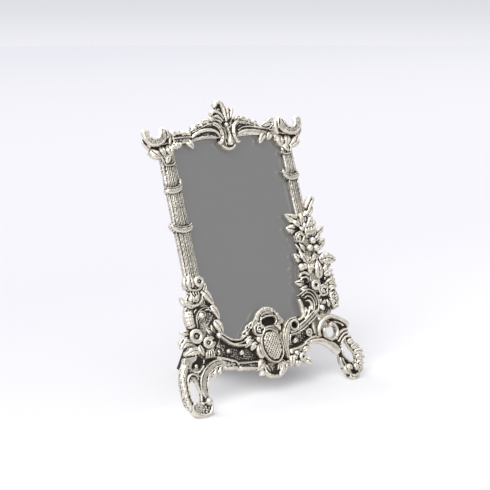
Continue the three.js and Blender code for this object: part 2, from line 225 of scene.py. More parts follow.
def leaf(spine, half, lobes=3, cup=0.5, thick=1.6, notch=0.3):
    """A plump veined leaf along a line in space. Each row of spine is u, v, r."""
    path = smooth_path(spine, 0.45)
    s = np.linspace(0, 1, len(path))[:, None]
    along = np.gradient(path[:, :2], axis=0)
    along /= np.linalg.norm(along, axis=1)[:, None] + 1e-9
    side = np.column_stack([-along[:, 1], along[:, 0]])
    width = half * np.sin(np.pi * np.clip(s, 0, 1) ** LEAF_POINT) ** 0.6 + 0.3
    lobe = np.abs(np.sin(np.pi * lobes * s))
    t = np.linspace(-1, 1, 15)[None, :]
    reach = width * (1 - notch * (1 - lobe) * (lobes > 1) * np.abs(t) ** 3)
    flat = path[:, None, :2] + side[:, None, :] * (t * reach)[:, :, None]
    size = min(half, 2.6)
    roll = -size * cup * (0.25 * t**2 + 0.55 * t**8)
    vein = -0.32 * size * np.exp(-((t / 0.15) ** 2)) * np.sin(np.pi * s) ** 0.5
    veins = 0.10 * size * (lobes > 1) * np.cos(2 * np.pi * lobes * s - 2.2 * np.abs(t)) * np.abs(t) ** 0.7
    height = path[:, None, 2] + roll + vein + veins
    front = np.concatenate([flat, height[:, :, None]], axis=2)
    back = front.copy()
    back[:, :, 2] = np.minimum(back[:, :, 2], path[:, None, 2]) - thick
    return sheet_solid(front, back)


def ring_flower(u, v, r, radius, rim):
    """A cupped flower: a thick round rim about a deep hollow with a seed in it."""
    around = [
        (u + (radius - rim) * math.cos(a), v + (radius - rim) * math.sin(a), r + 1.7, rim)
        for a in np.linspace(0, 2 * np.pi * 1.03, 22)
    ]
    return [tube(around), ball(u, v, r - 1.9, radius * 0.95, 0.7),
        ball(u + rim * 0.45, v + rim * 0.2, r + 0.6, rim * 0.8)]


def bloom(u, v, r, radius, start=0.0):
    """A small rose: a lobed outer petal, a coiled inner one and a bud, parted by deep gaps."""
    outer = []
    for a in np.linspace(0, 2 * np.pi * 1.02, 30):
        size = (radius - 0.85) * (1 + 0.07 * math.cos(5 * a))
        outer.append((u + size * math.cos(a + start), v + size * math.sin(a + start), r + 1.3, 0.95))
    coil = []
    for a in np.linspace(0, 5.2, 12):
        size = radius * (0.52 - 0.035 * a)
        coil.append((u + size * math.cos(a + start), v + size * math.sin(a + start), r + 2.0, 0.62))
    return [tube(outer), tube(coil), ball(u, v, r + 1.5, radius * 0.2),
        ball(u, v, r - 2.2, radius * 0.95, 0.75)]


def sprig(start, tip, half, lobes=1, bend=0.0, rise=0.3, low=-1.6, thick=3.0, notch=0.15):
    """A leaf lying on the plane from start to tip, bowed to its left by bend and arched by rise."""
    (a, b), (c, d) = start, tip
    size = math.hypot(c - a, d - b)
    middle = ((a + c) / 2 - (d - b) / size * bend, (b + d) / 2 + (c - a) / size * bend, rise)
    return leaf([(a, b, low), middle, (c, d, low + 0.3)], half, lobes, cup=0.9, thick=thick, notch=notch)


def sprigs(rows, **same):
    """Leaves on the plane; each row is start, tip, half width and bend."""
    return [sprig(start, tip, half, bend=bend, **same) for start, tip, half, bend in rows]


def scrolls(lines, base=CAST_BACK):
    """Plain rounded bands along a number of lines."""
    return [scroll(rows, base) for rows in lines]


def volute(u, v, base, radius, turns, start, half, top):
    """A scroll that winds into a boss; start is the angle of its outer end."""
    rows = []
    steps = int(8 * turns) + 1
    for k in range(steps):
        s = k / (steps - 1)
        angle = math.radians(start) + s * turns * 2 * np.pi
        size = radius * (1 - (1 - VOLUTE_HEART) * s)
        rows.append((u + size * math.cos(angle), v + size * math.sin(angle), half * (1 - 0.5 * s),
            top + 0.8 * s))
    return [scroll(rows, base, cove_profile), ball(u, v, top - 0.6, radius * VOLUTE_HEART * 1.15, 0.9)]


def berries(places, r, radius):
    """Equal beads at a number of places."""
    return [ball(u, v, r, radius) for u, v in places]


def lattice(u, v, half_u, half_v, r, pitch):
    """Crossed ridges clipped to an oval."""
    def inside(place):
        return (place[0] / half_u) ** 2 + (place[1] / half_v) ** 2 < 1

    shapes = []
    for slant in (math.radians(52), math.radians(128)):
        way, off = turn_to(slant), turn_to(slant + math.pi / 2)
        for k in np.arange(-8, 9):
            shift = k * pitch
            reach = [s for s in np.arange(-20, 20, 0.4) if inside(way * s + off * shift)]
            if len(reach) < 5:
                continue
            ends = [reach[0], (reach[0] + reach[-1]) / 2, reach[-1]]
            rows = []
            for s in ends:
                du, dv = way * s + off * shift
                dome = math.sqrt(max(0, 1 - (du / half_u) ** 2 * 0.8 - (dv / half_v) ** 2 * 0.8))
                rows.append((u + du, v + dv, r + 1.9 * dome, 0.45))
            shapes.append(tube(rows, 6))
    return shapes


# ---- fusing shapes into one casting ----
def noise(u, v, seed):
    """Smooth noise between -1 and 1 on a unit lattice."""
    table = np.random.default_rng(seed).uniform(-1, 1, (64, 64))
    i, j = np.floor(u).astype(int), np.floor(v).astype(int)
    a, b = u - i, v - j
    a, b = a * a * (3 - 2 * a), b * b * (3 - 2 * b)

    def pick(x, y):
        return table[x % 64, y % 64]

    top = pick(i, j) * (1 - a) + pick(i + 1, j) * a
    bottom = pick(i, j + 1) * (1 - a) + pick(i + 1, j + 1) * a
    return top * (1 - b) + bottom * b


SCATTER = ((12.9, 78.2, 37.7), (39.3, 11.1, 83.2), (73.2, 52.2, 9.2))  # any uneven numbers will do


def pebbles(u, v, r, pitch):
    """Rounded pebbles as a height from 0 to 1."""
    cells = np.column_stack([u, v, r]) / pitch
    home = np.floor(cells)
    nearest = np.full(len(u), 9.0)
    for offset in np.ndindex(3, 3, 3):
        cell = home + np.array(offset) - 1
        jitter = [np.modf(np.sin(cell @ way) * 43758.5453)[0] for way in SCATTER]
        seed = cell + 0.5 + 0.35 * np.column_stack(jitter)
        nearest = np.minimum(nearest, np.linalg.norm(cells - seed, axis=1))
    return np.clip(1 - nearest**2 * 1.6, 0, 1)


def mesh_object(name, verts, faces):
    """A new object in the scene from vertices and faces."""
    mesh = bpy.data.meshes.new(name)
    mesh.from_pydata([tuple(v) for v in verts], [], [tuple(int(i) for i in f) for f in faces])
    mesh.update()
    made = bpy.data.objects.new(name, mesh)
    bpy.context.scene.collection.objects.link(made)
    return made


def coordinates(mesh):
    """The places of a mesh's vertices."""
    co = np.empty(len(mesh.vertices) * 3)
    mesh.vertices.foreach_get("co", co)
    return co.reshape(-1, 3)


def move_to(mesh, points):
    """Moves a mesh's vertices to the given points."""
    mesh.vertices.foreach_set("co", points.ravel())
    mesh.update()


def normals(mesh):
    """The directions that a mesh's vertices face."""
    n = np.empty(len(mesh.vertices) * 3)
    mesh.vertex_normals.foreach_get("vector", n)
    return n.reshape(-1, 3)


def relaxer(mesh):
    """A function that moves points to the mean of their neighbours a number of times."""
    edges = np.empty(len(mesh.edges) * 2, int)
    mesh.edges.foreach_get("vertices", edges)
    a, b = edges.reshape(-1, 2).T
    count = len(mesh.vertices)
    degree = np.bincount(a, minlength=count) + np.bincount(b, minlength=count)

    def relax(values, times):
        for _ in range(times):
            columns = [
                (np.bincount(a, column[b], count) + np.bincount(b, column[a], count)) / degree
                for column in values.T
            ]
            values = 0.5 * values + 0.5 * np.column_stack(columns)
        return values

    return relax


def sinking(points, facing):
    """How far each point of the front lies below the highest casting near it, in millimetres."""
    cell, reach = 0.5, 7  # size of a cell, and how many cells away still counts as near
    corner = points[:, :2].min(axis=0) - cell * (reach + 2)
    spot = ((points[:, :2] - corner) / cell).astype(int)
    shape = spot.max(axis=0) + reach + 3
    top = np.full(shape, -20.0)
    np.maximum.at(top, (spot[:, 0], spot[:, 1]), points[:, 2])
    for _ in range(reach):
        for axis in (0, 1):
            top = np.maximum(top, np.maximum(np.roll(top, 1, axis), np.roll(top, -1, axis)))
    for _ in range(reach + 2):
        for axis in (0, 1):
            top = 0.5 * top + 0.25 * (np.roll(top, 1, axis) + np.roll(top, -1, axis))
    below = top[spot[:, 0], spot[:, 1]] - points[:, 2]
    return np.clip(below, 0, 6) * np.clip(facing[:, 2] + 0.35, 0, 1)


UNEVEN = 0.10  # depth of the dents left by the foundry, in millimetres
PEBBLE_PITCH = 1.35
PEBBLE_DEPTH = 0.5
NEAR_ROUNDS, WIDE_ROUNDS = 10, 70  # smoothing rounds that level a fine groove, and a whole hollow
NEAR_DEPTH, WIDE_DEPTH = 0.10, 0.55  # depths of groove and hollow that count as one, in millimetres


def cast(name, node, shapes, voxel=0.36, pebbled=(), texture=None, material=None):
    """Fuses overlapping shapes into one casting that stands for a CAD node.

    Shapes in pebbled get a hammered surface. texture(points) adds height along the normals.
    """
    verts, faces, start = [], [], 0
    rough_from = sum(len(f) for _, f in shapes)
    for v, f in list(shapes) + list(pebbled):
        verts.append(v)
        faces += [tuple(i + start for i in face) for face in f]
        start += len(v)
    verts = np.concatenate(verts)
    rough = mesh_object(name + "_rough", verts, faces)
    remesh = rough.modifiers.new("fuse", "REMESH")
    remesh.mode = "VOXEL"
    remesh.voxel_size = voxel
    graph = bpy.context.evaluated_depsgraph_get()
    mesh = bpy.data.meshes.new_from_object(rough.evaluated_get(graph))
    mesh.name = name
    source = BVHTree.FromPolygons([tuple(v) for v in verts], faces) if pebbled else None
    old = rough.data
    bpy.data.objects.remove(rough)
    bpy.data.meshes.remove(old)

    points = coordinates(mesh)
    relax = relaxer(mesh)
    points = relax(points, 2)
    if source:
        hit = np.array([source.find_nearest(Vector(p))[2] >= rough_from for p in points], float)
        mask = relax(hit[:, None], 3)[:, 0]
        move_to(mesh, points)
        swell = pebbles(*points.T, PEBBLE_PITCH) - 0.5
        points = points + normals(mesh) * (mask * swell * PEBBLE_DEPTH)[:, None]
    move_to(mesh, points)
    u, v, r = points.T
    dents = noise(u / 1.5 + r / 2.1, v / 1.5 - r / 2.7, 31) + 0.6 * noise(u / 0.8 - r, v / 0.8 + r, 37)
    points = points + normals(mesh) * (UNEVEN * dents)[:, None]
    if texture:
        move_to(mesh, points)
        points = points + normals(mesh) * texture(points)[:, None]
    move_to(mesh, points)
    facing = normals(mesh)
    near = np.einsum("ij,ij->i", relax(points, NEAR_ROUNDS) - points, facing)
    wide = np.einsum("ij,ij->i", relax(points, WIDE_ROUNDS) - points, facing)
    sunk = relax(sinking(points, facing)[:, None], 2)[:, 0]
    levels = {"groove": near / NEAR_DEPTH, "hollow": wide / WIDE_DEPTH, "sunk": sunk}
    for key, level in levels.items():
        layer = mesh.attributes.new(key, "FLOAT", "POINT")
        layer.data.foreach_set("value", level.astype(np.float32))
    mesh.vertices.foreach_set("co", to_frame(points).ravel())
    mesh.shade_smooth()
    mesh.update()
    made = bpy.data.objects.new(name, mesh)
    bpy.context.scene.collection.objects.link(made)
    made.data.materials.append(material or silver)
    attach(made, "frame")
    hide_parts(node)
    print(name, len(mesh.polygons), "faces")
    return made


# ---- materials ----
def new_material(name):
    """A material with its node tree and its shader."""
    material = bpy.data.materials.new(name)
    material.use_nodes = True
    tree = material.node_tree
    return material, tree, tree.nodes["Principled BSDF"]


def put(tree, socket, value):
    """Gives a socket a number, a colour or the output of another node."""
    if isinstance(value, bpy.types.NodeSocket):
        tree.links.new(value, socket)
    elif isinstance(value, tuple):
        socket.default_value = (*value, 1)
    else:
        socket.default_value = value


def feed(tree, node, **values):
    """Puts a value in each input that is named."""
    for key, value in values.items():
        put(tree, node.inputs[key.replace("_", " ")], value)


def maths(tree, operation, a, b=0.0):
    """The outcome of one sum."""
    node = tree.nodes.new("ShaderNodeMath")
    node.operation = operation
    put(tree, node.inputs[0], a)
    put(tree, node.inputs[1], b)
    return node.outputs[0]


def speckle(tree, scale, detail=3.0, rough=0.55, stretch=None):
    """Smooth noise from 0 to 1 over the object, drawn out by stretch along the leaning plane's axes."""
    place = tree.nodes.new("ShaderNodeTexCoord")
    noise_node = tree.nodes.new("ShaderNodeTexNoise")
    feed(tree, noise_node, Scale=scale, Detail=detail, Roughness=rough)
    source = place.outputs["Object"]
    if stretch:
        mapping = tree.nodes.new("ShaderNodeMapping")
        mapping.vector_type = "TEXTURE"
        mapping.inputs["Rotation"].default_value = (math.atan2(up[2], up[1]), 0, 0)
        mapping.inputs["Scale"].default_value = stretch
        tree.links.new(source, mapping.inputs["Vector"])
        source = mapping.outputs["Vector"]
    feed(tree, noise_node, Vector=source)
    return noise_node.outputs["Fac"]


def ramp(tree, value, low, high, a=0.0, b=1.0):
    """A value eased from the range low to high onto the range a to b."""
    node = tree.nodes.new("ShaderNodeMapRange")
    node.interpolation_type = "SMOOTHSTEP"
    feed(tree, node, From_Min=low, From_Max=high, To_Min=a, To_Max=b, Value=value)
    return node.outputs["Result"]


def mix(tree, factor, a, b):
    """A colour between a and b."""
    node = tree.nodes.new("ShaderNodeMix")
    node.data_type = "RGBA"
    tree.links.new(factor, node.inputs["Factor"])
    for key, colour in (("A", a), ("B", b)):
        socket = [s for s in node.inputs if s.name == key and s.type == "RGBA"][0]
        put(tree, socket, colour)
    return [s for s in node.outputs if s.type == "RGBA"][0]


def bump(tree, shader, height, distance, strength=1.0):
    """Fine relief of a surface from a height; distance is in metres."""
    node = tree.nodes.new("ShaderNodeBump")
    feed(tree, node, Distance=distance, Strength=strength, Height=height)
    feed(tree, shader, Normal=node.outputs["Normal"])


def attribute(tree, name):
    """A value that cast stored on the points."""
    node = tree.nodes.new("ShaderNodeAttribute")
    node.attribute_name = name
    return node.outputs["Fac"]


DULL_SILVER = (0.64, 0.597, 0.522)
BRIGHT_SILVER = (0.83, 0.785, 0.70)
PATINA = (0.022, 0.018, 0.014)
WHITE = (1, 1, 1)
MIRROR_PAINTED_GLOW = 0.150  # strength of the painted even grey glow on the mirror, which stands in for its reflection and hides the shadows on it
MIRROR_SHARE = 0.07  # part of the mirror's light that is a clear reflection


def antique_silver(name, tarnish=0.0, stretch=None, deep=0.55):
    """Silvered casting: rubbed bright on the crowns, near-black patina in the hollows."""
    material, tree, shader = new_material(name)
    fine = speckle(tree, 1500, 3, 0.7)
    grain = speckle(tree, 620 if not stretch else 900, 3, 0.65, stretch)
    broad = speckle(tree, 120, 3)
    groove = maths(tree, "MULTIPLY", attribute(tree, "groove"), 1.2)
    hollow = maths(tree, "MULTIPLY", attribute(tree, "hollow"), 0.95)
    sunk = maths(tree, "MULTIPLY", maths(tree, "SUBTRACT", attribute(tree, "sunk"), 1.5), deep)
    depth = maths(tree, "ADD", maths(tree, "ADD", groove, hollow), maths(tree, "MAXIMUM", sunk, -0.3))
    blotch = maths(tree, "ADD", maths(tree, "MULTIPLY", grain, 1.6), maths(tree, "MULTIPLY", broad, 0.7))
    depth = maths(tree, "ADD", depth, maths(tree, "SUBTRACT", blotch, 1.15 - tarnish))
    dark = ramp(tree, depth, -0.12, 0.72)
    metal = mix(tree, ramp(tree, broad, 0.3, 0.7), DULL_SILVER, BRIGHT_SILVER)
    colour = mix(tree, dark, metal, PATINA)
    feed(tree, shader, Base_Color=colour, Metallic=ramp(tree, dark, 0.4, 1.0, 1.0, 0.3))
    rough = maths(tree, "ADD", ramp(tree, dark, 0, 1, 0.27, 0.6), maths(tree, "MULTIPLY", fine, 0.14))
    feed(tree, shader, Roughness=rough)
    bumps = maths(tree, "ADD", grain, maths(tree, "MULTIPLY", fine, 0.4))
    bump(tree, shader, bumps, 0.00045, 0.7)
    return material


def plated_steel():
    """Brushed bright plate with dull stains."""
    material, tree, shader = new_material("plated_steel")
    grain = speckle(tree, 500, 4, 0.6, (6, 1, 1))
    stain = speckle(tree, 90, 3)
    colour = mix(tree, ramp(tree, stain, 0.55, 0.75), (0.62, 0.62, 0.60), (0.40, 0.38, 0.34))
    feed(tree, shader, Base_Color=colour, Metallic=1.0, Roughness=ramp(tree, grain, 0.3, 0.7, 0.24, 0.42))
    bump(tree, shader, grain, 0.00005, 0.4)
    return material


def looking_glass():
    """Silvered mirror with a painted even grey glow on it, in place of its reflection and of the shadows on
    it, so that it reads as an even grey.
    """
    material, tree, shader = new_material("looking_glass")
    smear = speckle(tree, 30, 2)
    colour = mix(tree, smear, (0.075, 0.075, 0.075), (0.078, 0.078, 0.078))
    # painted light: an even grey glow over the mirror instead of what it would reflect and of the shadows
    # falling on it
    feed(tree, shader, Base_Color=colour, Emission_Color=WHITE, Emission_Strength=MIRROR_PAINTED_GLOW)
    feed(tree, shader, Metallic=0.0, Specular_IOR_Level=0.0, Roughness=0.8)
    mirror = tree.nodes.new("ShaderNodeBsdfGlossy")
    feed(tree, mirror, Color=(0.93, 0.94, 0.935), Roughness=ramp(tree, smear, 0.5, 0.8, 0.02, 0.06))
    both = tree.nodes.new("ShaderNodeMixShader")
    feed(tree, both, Fac=MIRROR_SHARE)
    tree.links.new(shader.outputs[0], both.inputs[1])
    tree.links.new(mirror.outputs[0], both.inputs[2])
    tree.links.new(both.outputs[0], tree.nodes["Material Output"].inputs["Surface"])
    return material


def velvet():
    """Short black pile, brushed in patches, paler where it is seen edge on."""
    material, tree, shader = new_material("velvet")
    pile = speckle(tree, 2600, 3, 0.7)
    brushed = speckle(tree, 45, 3)
    colour = mix(tree, brushed, (0.006, 0.006, 0.006), (0.016, 0.015, 0.014))
    feed(tree, shader, Base_Color=colour, Roughness=0.95, Sheen_Weight=0.35, Sheen_Roughness=0.4)
    bump(tree, shader, pile, 0.0003, 0.7)
    return material


def greyboard():
    """Plain fibrous card."""
    material, tree, shader = new_material("greyboard")
    fibre = speckle(tree, 700, 4, 0.7, (3, 1, 1))
    colour = mix(tree, fibre, (0.24, 0.20, 0.14), (0.36, 0.31, 0.23))
    feed(tree, shader, Base_Color=colour, Roughness=0.9)
    bump(tree, shader, fibre, 0.0002, 0.5)
    return material


silver = antique_silver("silvered_casting")
crest_silver = antique_silver("silvered_crest", 0.04, deep=0.34)
bouquet_silver = antique_silver("silvered_bouquet", 0.06, deep=0.8)
cane_silver = antique_silver("silvered_cane", 0.26, (1, 3, 1))
steel = plated_steel()
glass_metal = looking_glass()
pile_cloth = velvet()
board = greyboard()


# ---- camera, floor and light ----
CAMERA_PLACE = (-0.46630, -0.67957, 0.30611)
CAMERA_AIM = (-0.0066, -0.0092, 0.115)
CAMERA_LENS = 78.15
FLOOR_RADIUS = 6.0
FLOOR_DROP = -0.0003
CARD_DIRECTION = (0.545, -0.772, 0.327)  # where the mirror looks


def set_camera():
    """A long lens a little above the mirror, from its left."""
    camera = bpy.data.objects.new("camera", bpy.data.cameras.new("camera"))
    bpy.context.scene.collection.objects.link(camera)
    camera.location = CAMERA_PLACE
    aim = Vector(CAMERA_AIM) - camera.location
    camera.rotation_euler = aim.to_track_quat("-Z", "Y").to_euler()
    camera.data.lens = CAMERA_LENS
    camera.data.sensor_width = 36
    camera.data.clip_start = 0.01
    camera.data.clip_end = 30
    bpy.context.scene.camera = camera


def set_floor():
    """A round pale sheet with painted shade that greys it behind the mirror and more so far away, and a faint
    painted glow in front of it that lightens the shadow there.
    """
    count = 96
    verts, faces = [(0, 0, FLOOR_DROP)], []
    for k in range(1, 13):
        size = FLOOR_RADIUS * (k / 12) ** 2
        for j in range(count):
            angle = 2 * math.pi * j / count
            verts.append((size * math.cos(angle), size * math.sin(angle), FLOOR_DROP))
    for j in range(count):
        faces.append((0, 1 + j, 1 + (j + 1) % count))
        for k in range(11):
            a, b = 1 + k * count, 1 + (k + 1) * count
            faces.append((a + j, b + j, b + (j + 1) % count, a + (j + 1) % count))
    floor = mesh_object("floor", verts, faces)
    material, tree, shader = new_material("floor_paper")
    tone = speckle(tree, 3, 2)
    place = tree.nodes.new("ShaderNodeTexCoord")
    split = tree.nodes.new("ShaderNodeSeparateXYZ")
    tree.links.new(place.outputs["Object"], split.inputs[0])
    near = mix(tree, tone, (0.89, 0.89, 0.90), (0.90, 0.90, 0.91))
    # painted shade: the floor greys behind the mirror and further still far away, standing in for light
    # falling off
    middle = mix(tree, ramp(tree, split.outputs["Y"], -0.05, 0.35), near, (0.825, 0.82, 0.845))
    colour = mix(tree, ramp(tree, split.outputs["Y"], 0.9, 5.0), middle, (0.74, 0.742, 0.775))
    # painted light: a glow in front of the mirror that lightens the cast shadow there
    painted_glow = ramp(tree, split.outputs["Y"], -0.045, -0.008, 0.13, 0.0)
    feed(tree, shader, Base_Color=colour, Emission_Color=WHITE, Emission_Strength=painted_glow)
    feed(tree, shader, Roughness=1.0, Specular_IOR_Level=0.0)
    floor.data.materials.append(material)


def sun(name, toward, strength, softness):
    """A broad soft lamp that shines from the direction toward."""
    light = bpy.data.lights.new(name, "SUN")
    light.energy = strength
    light.angle = math.radians(softness)
    made = bpy.data.objects.new(name, light)
    made.rotation_euler = Vector(toward).to_track_quat("Z", "Y").to_euler()
    bpy.context.scene.collection.objects.link(made)


def set_world():
    """A white studio: pale to the eye, with a grey card where the mirror looks and a bright ceiling."""
    world = bpy.data.worlds.new("studio")
    bpy.context.scene.world = world
    world.use_nodes = True
    tree = world.node_tree
    shade = tree.nodes["Background"]
    path = tree.nodes.new("ShaderNodeLightPath")
    place = tree.nodes.new("ShaderNodeTexCoord")
    toward = tree.nodes.new("ShaderNodeVectorMath")
    toward.operation = "DOT_PRODUCT"
    tree.links.new(place.outputs["Generated"], toward.inputs[0])
    toward.inputs[1].default_value = CARD_DIRECTION
    split = tree.nodes.new("ShaderNodeSeparateXYZ")
    tree.links.new(place.outputs["Generated"], split.inputs[0])
    height = ramp(tree, split.outputs["Z"], 0.05, 0.75, 0.55, 1.5)
    card = ramp(tree, toward.outputs["Value"], 0.80, 0.93)
    seen_by_metal = mix(tree, card, height_colour(tree, height), (0.40, 0.40, 0.40))
    fill = mix(tree, path.outputs["Is Glossy Ray"], (0.52, 0.52, 0.55), seen_by_metal)
    above = ramp(tree, split.outputs["Z"], -0.054, 0.0)
    wall = mix(tree, above, (0.875, 0.875, 0.92), (0.735, 0.742, 0.785))
    tree.links.new(mix(tree, path.outputs["Is Camera Ray"], fill, wall), shade.inputs["Color"])


def height_colour(tree, value):
    """A grey of the given brightness."""
    node = tree.nodes.new("ShaderNodeCombineColor")
    for socket in node.inputs:
        tree.links.new(value, socket)
    return node.outputs[0]


set_camera()
set_floor()
set_world()
sun("sun_rear_left", (-0.45, 0.55, 0.85), strength=1.25, softness=40)
sun("sun_front_left", (-0.75, -0.45, 0.9), strength=1.35, softness=45)
bpy.context.scene.view_settings.view_transform = "Standard"


# ---- ornament ----
def spread(shapes, centre, factors):
    """The shapes made larger or smaller about a centre."""
    return [((np.asarray(v) - centre) * factors + centre, f) for v, f in shapes]


def mirrored(shapes):
    """The shapes on the other side of the middle."""
    return [(np.asarray(v) * (-1, 1, 1), [tuple(reversed(f)) for f in fs]) for v, fs in shapes]


def bowed(shapes):
    """The shapes moved right in the middle of the crest and not at all at its ends."""
    shift, half_span = 2.3, 50
    moved = []
    for verts, faces in shapes:
        verts = np.array(verts, dtype=float)
        verts[:, 0] += shift * np.clip(1 - (verts[:, 0] / half_span) ** 2, 0, 1)
        moved.append((verts, faces))
    return moved


def crest_half(strands, sprays):
    """Half of the moulded rail over the glass, with its C-scroll beside the finial."""
    ground = [
        (0.5, 209), (8, 210.4), (22, 211), (34, 210), (48.6, 208.4), (48.6, 216.5), (40, 216.5),
        (30, 219.5), (22, 221.5), (13, 222), (0.5, 219),
    ]
    c_scroll = [
        (10.8, 207.8, 1.4, -0.8), (8.6, 206.4, 1.9, -0.4), (6.2, 209.6, 2.2, 0), (5.6, 215, 2.3, 0.3),
        (7.4, 219.6, 2.3, 0.3), (11.4, 222.4, 2.2, 0), (16.8, 222, 2, -0.4), (22.4, 220.2, 1.8, -0.8),
        (27.4, 218.4, 1.4, -1.2), (32, 216.8, 1, -1.6),
    ]
    top = [(32, 218.6, 1.3, -2), (26, 220.8, 1.6, -1.6), (19, 223.2, 2, -1.4), (12.6, 224.8, 2, -1.2)]
    shapes = [
        slab(ground, CAST_BACK, -2.2, smooth=False),
        slab([(4, 214), (14, 221), (14, 225.4), (9, 226), (4, 223)], -6, -3.6),
        scroll(c_scroll, profile=ridge_profile),
        scroll(top, profile=flat_profile),
    ]
    shapes += [scroll(rows, profile=profile) for rows, profile in strands]
    common = [
        ((9.8, 223), (15.4, 227.4), 2, 0.5), ((13.4, 221.6), (20.6, 225.8), 2.7, 0.9),
        ((19, 220.4), (26, 223.2), 2.5, 0.9), ((25, 219.2), (31.8, 221.4), 2.2, 0.7),
        ((49.6, 210), (46.2, 204.6), 2.6, 0.4),
    ]
    return shapes + sprigs(common + sprays, rise=-0.9, low=-3)


def crest():
    """A broad strand over a hollow on the left half, and a flat band under a rib on the right half."""
    broad = [
        (7.8, 210.6, 1.2, -0.8), (9.6, 214.6, 1.7, -0.3), (13.6, 217, 2.1, 0.1), (21, 217.6, 2.3, 0.2),
        (28, 215.8, 2.2, -0.2), (33.6, 212.4, 1.6, -1),
    ]
    sill = [(10.4, 211, 1.3, -1.9), (16, 212, 1.6, -1.7), (22, 212.2, 1.6, -1.7), (34, 210.4, 1.4, -2.1),
        (47, 209.4, 1.4, -2.4)]
    shelf = [(33, 215.4, 1.2, -1.6), (40, 216.6, 1.5, -1), (50, 217, 1.7, -1.2)]
    cord = [(32, 213.4, 0.8, -1.6), (40, 213.6, 0.9, -1.2), (50, 213.2, 1, -1.4)]
    left_strands = [(broad, round_profile), (sill, flat_profile), (shelf, round_profile),
        (cord, round_profile)]
    left_sprays = [
        ((38.4, 213.4), (40.6, 219.8), 1.9, 0.4), ((34.8, 213.6), (36.2, 219.2), 1.7, 0.4),
        ((44, 216.4), (50.4, 219.8), 1.8, -0.6), ((37.8, 211.6), (33, 203.8), 2.7, -0.5),
        ((44.8, 211.4), (44.4, 205.4), 2.9, 0.3),
    ]
    band = [(9.4, 211.8, 1.6, -1.9), (14, 213.7, 2.4, -1.5), (20, 214.1, 2.6, -1.4),
        (28, 213.3, 2.6, -1.5), (36, 211.9, 2.4, -1.9), (47, 209.9, 2, -2.3)]
    rib = [(10.6, 215.6, 0.8, -1), (15, 217.6, 0.9, -0.6), (20, 217.9, 1, -0.5), (28, 217, 1, -0.7),
        (36, 215.4, 1, -1.2), (47, 213.2, 1, -1.8)]
    curl = [(32.6, 217.6, 0.8, -0.8), (36.6, 215.4, 0.9, -0.4), (41.6, 215, 1, -0.4),
        (45.8, 217.4, 0.9, -0.5), (47.6, 221.6, 0.8, -1)]
    right_strands = [(band, flat_profile), (rib, round_profile), (curl, round_profile)]
    right_sprays = [
        ((50.6, 219.6), (34.2, 217.4), 2.7, -0.8), ((52, 222.2), (40.4, 220.6), 2, -0.5),
        ((38.8, 212.4), (29.6, 203.6), 2.9, -0.6), ((44.6, 211.8), (38.8, 205.6), 2.8, -0.4),
    ]
    return bowed(crest_half(right_strands, right_sprays) + mirrored(crest_half(left_strands, left_sprays)))


def finial():
    """A rolled leaf over ribbed lobes above the crest, and a drop in a cup below, between the C-scrolls."""
    ground = [
        (-0.6, 203), (6.4, 203), (7.6, 212), (8.2, 221), (10.4, 228), (10.2, 234), (6.4, 236), (3.6, 237),
        (0.6, 239), (-3.4, 238.6), (-4.4, 234), (-8.4, 231.4), (-8.2, 228.6), (-4.6, 224), (-1.6, 219),
        (-1.6, 212),
    ]
    bands = [
        [(-3.8, 235.4, 1.5, -1.2), (-4.2, 237.8, 2, -0.4), (-2.2, 239.6, 2.3, 0.3),
            (0.6, 238.9, 2.3, 0.5), (2.2, 235.6, 2.2, 0.3), (2.6, 231, 2, 0.1), (2.8, 226.4, 1.8, 0),
            (3, 222.8, 1.6, -0.2)],
        [(-3.2, 233.4, 0.9, -1.8), (-1.6, 234, 0.9, -1.4), (-0.6, 232.4, 0.8, -1.8)],
        [(-8.6, 229.2, 1.2, -1), (-8.8, 231.2, 1.8, -0.4), (-6.2, 232.4, 1.9, 0.1),
            (-3.2, 231.2, 1.7, 0.2), (-1, 228.8, 1.3, 0), (0.8, 225.2, 1.2, -0.3)],
        [(-7.6, 228.2, 1.2, -1), (-5, 228.4, 1.6, -0.4), (-2.4, 226.4, 1.4, -0.2), (0, 223, 1.1, -0.5)],
        [(-6, 225, 1, -1.4), (-3.8, 224.6, 1.2, -0.9), (-1.4, 222, 1.1, -0.9)],
        [(5, 224.6, 1.4, -0.6), (5.8, 229.4, 1.9, -0.1), (6, 233.4, 2.1, 0.2), (6.4, 235.8, 1.8, 0)],
        [(6.8, 225.8, 1.3, -0.8), (9.2, 229.6, 1.9, -0.3), (10.2, 233, 1.9, -0.1), (9.8, 234.8, 1.5, -0.6)],
        [(2.2, 218.8, 0.9, 0), (2.8, 214.6, 1, 0.2), (3.1, 211.4, 1.5, 0.4), (3, 208, 2.7, 0.6),
            (2.9, 205.2, 3, 0.4), (2.8, 203.4, 2.6, 0)],
        [(-5.8, 204.8, 1.1, -1.4), (-3, 202.2, 1.5, -0.8), (0.8, 201, 1.7, -0.6), (4.8, 202, 1.5, -0.8),
            (7.8, 204.6, 1.1, -1.2)],
    ]
    return [slab(ground, -5.8, -2.8)] + scrolls(bands, -5.4) + [ball(1.4, 220.4, -0.4, 1.9)]


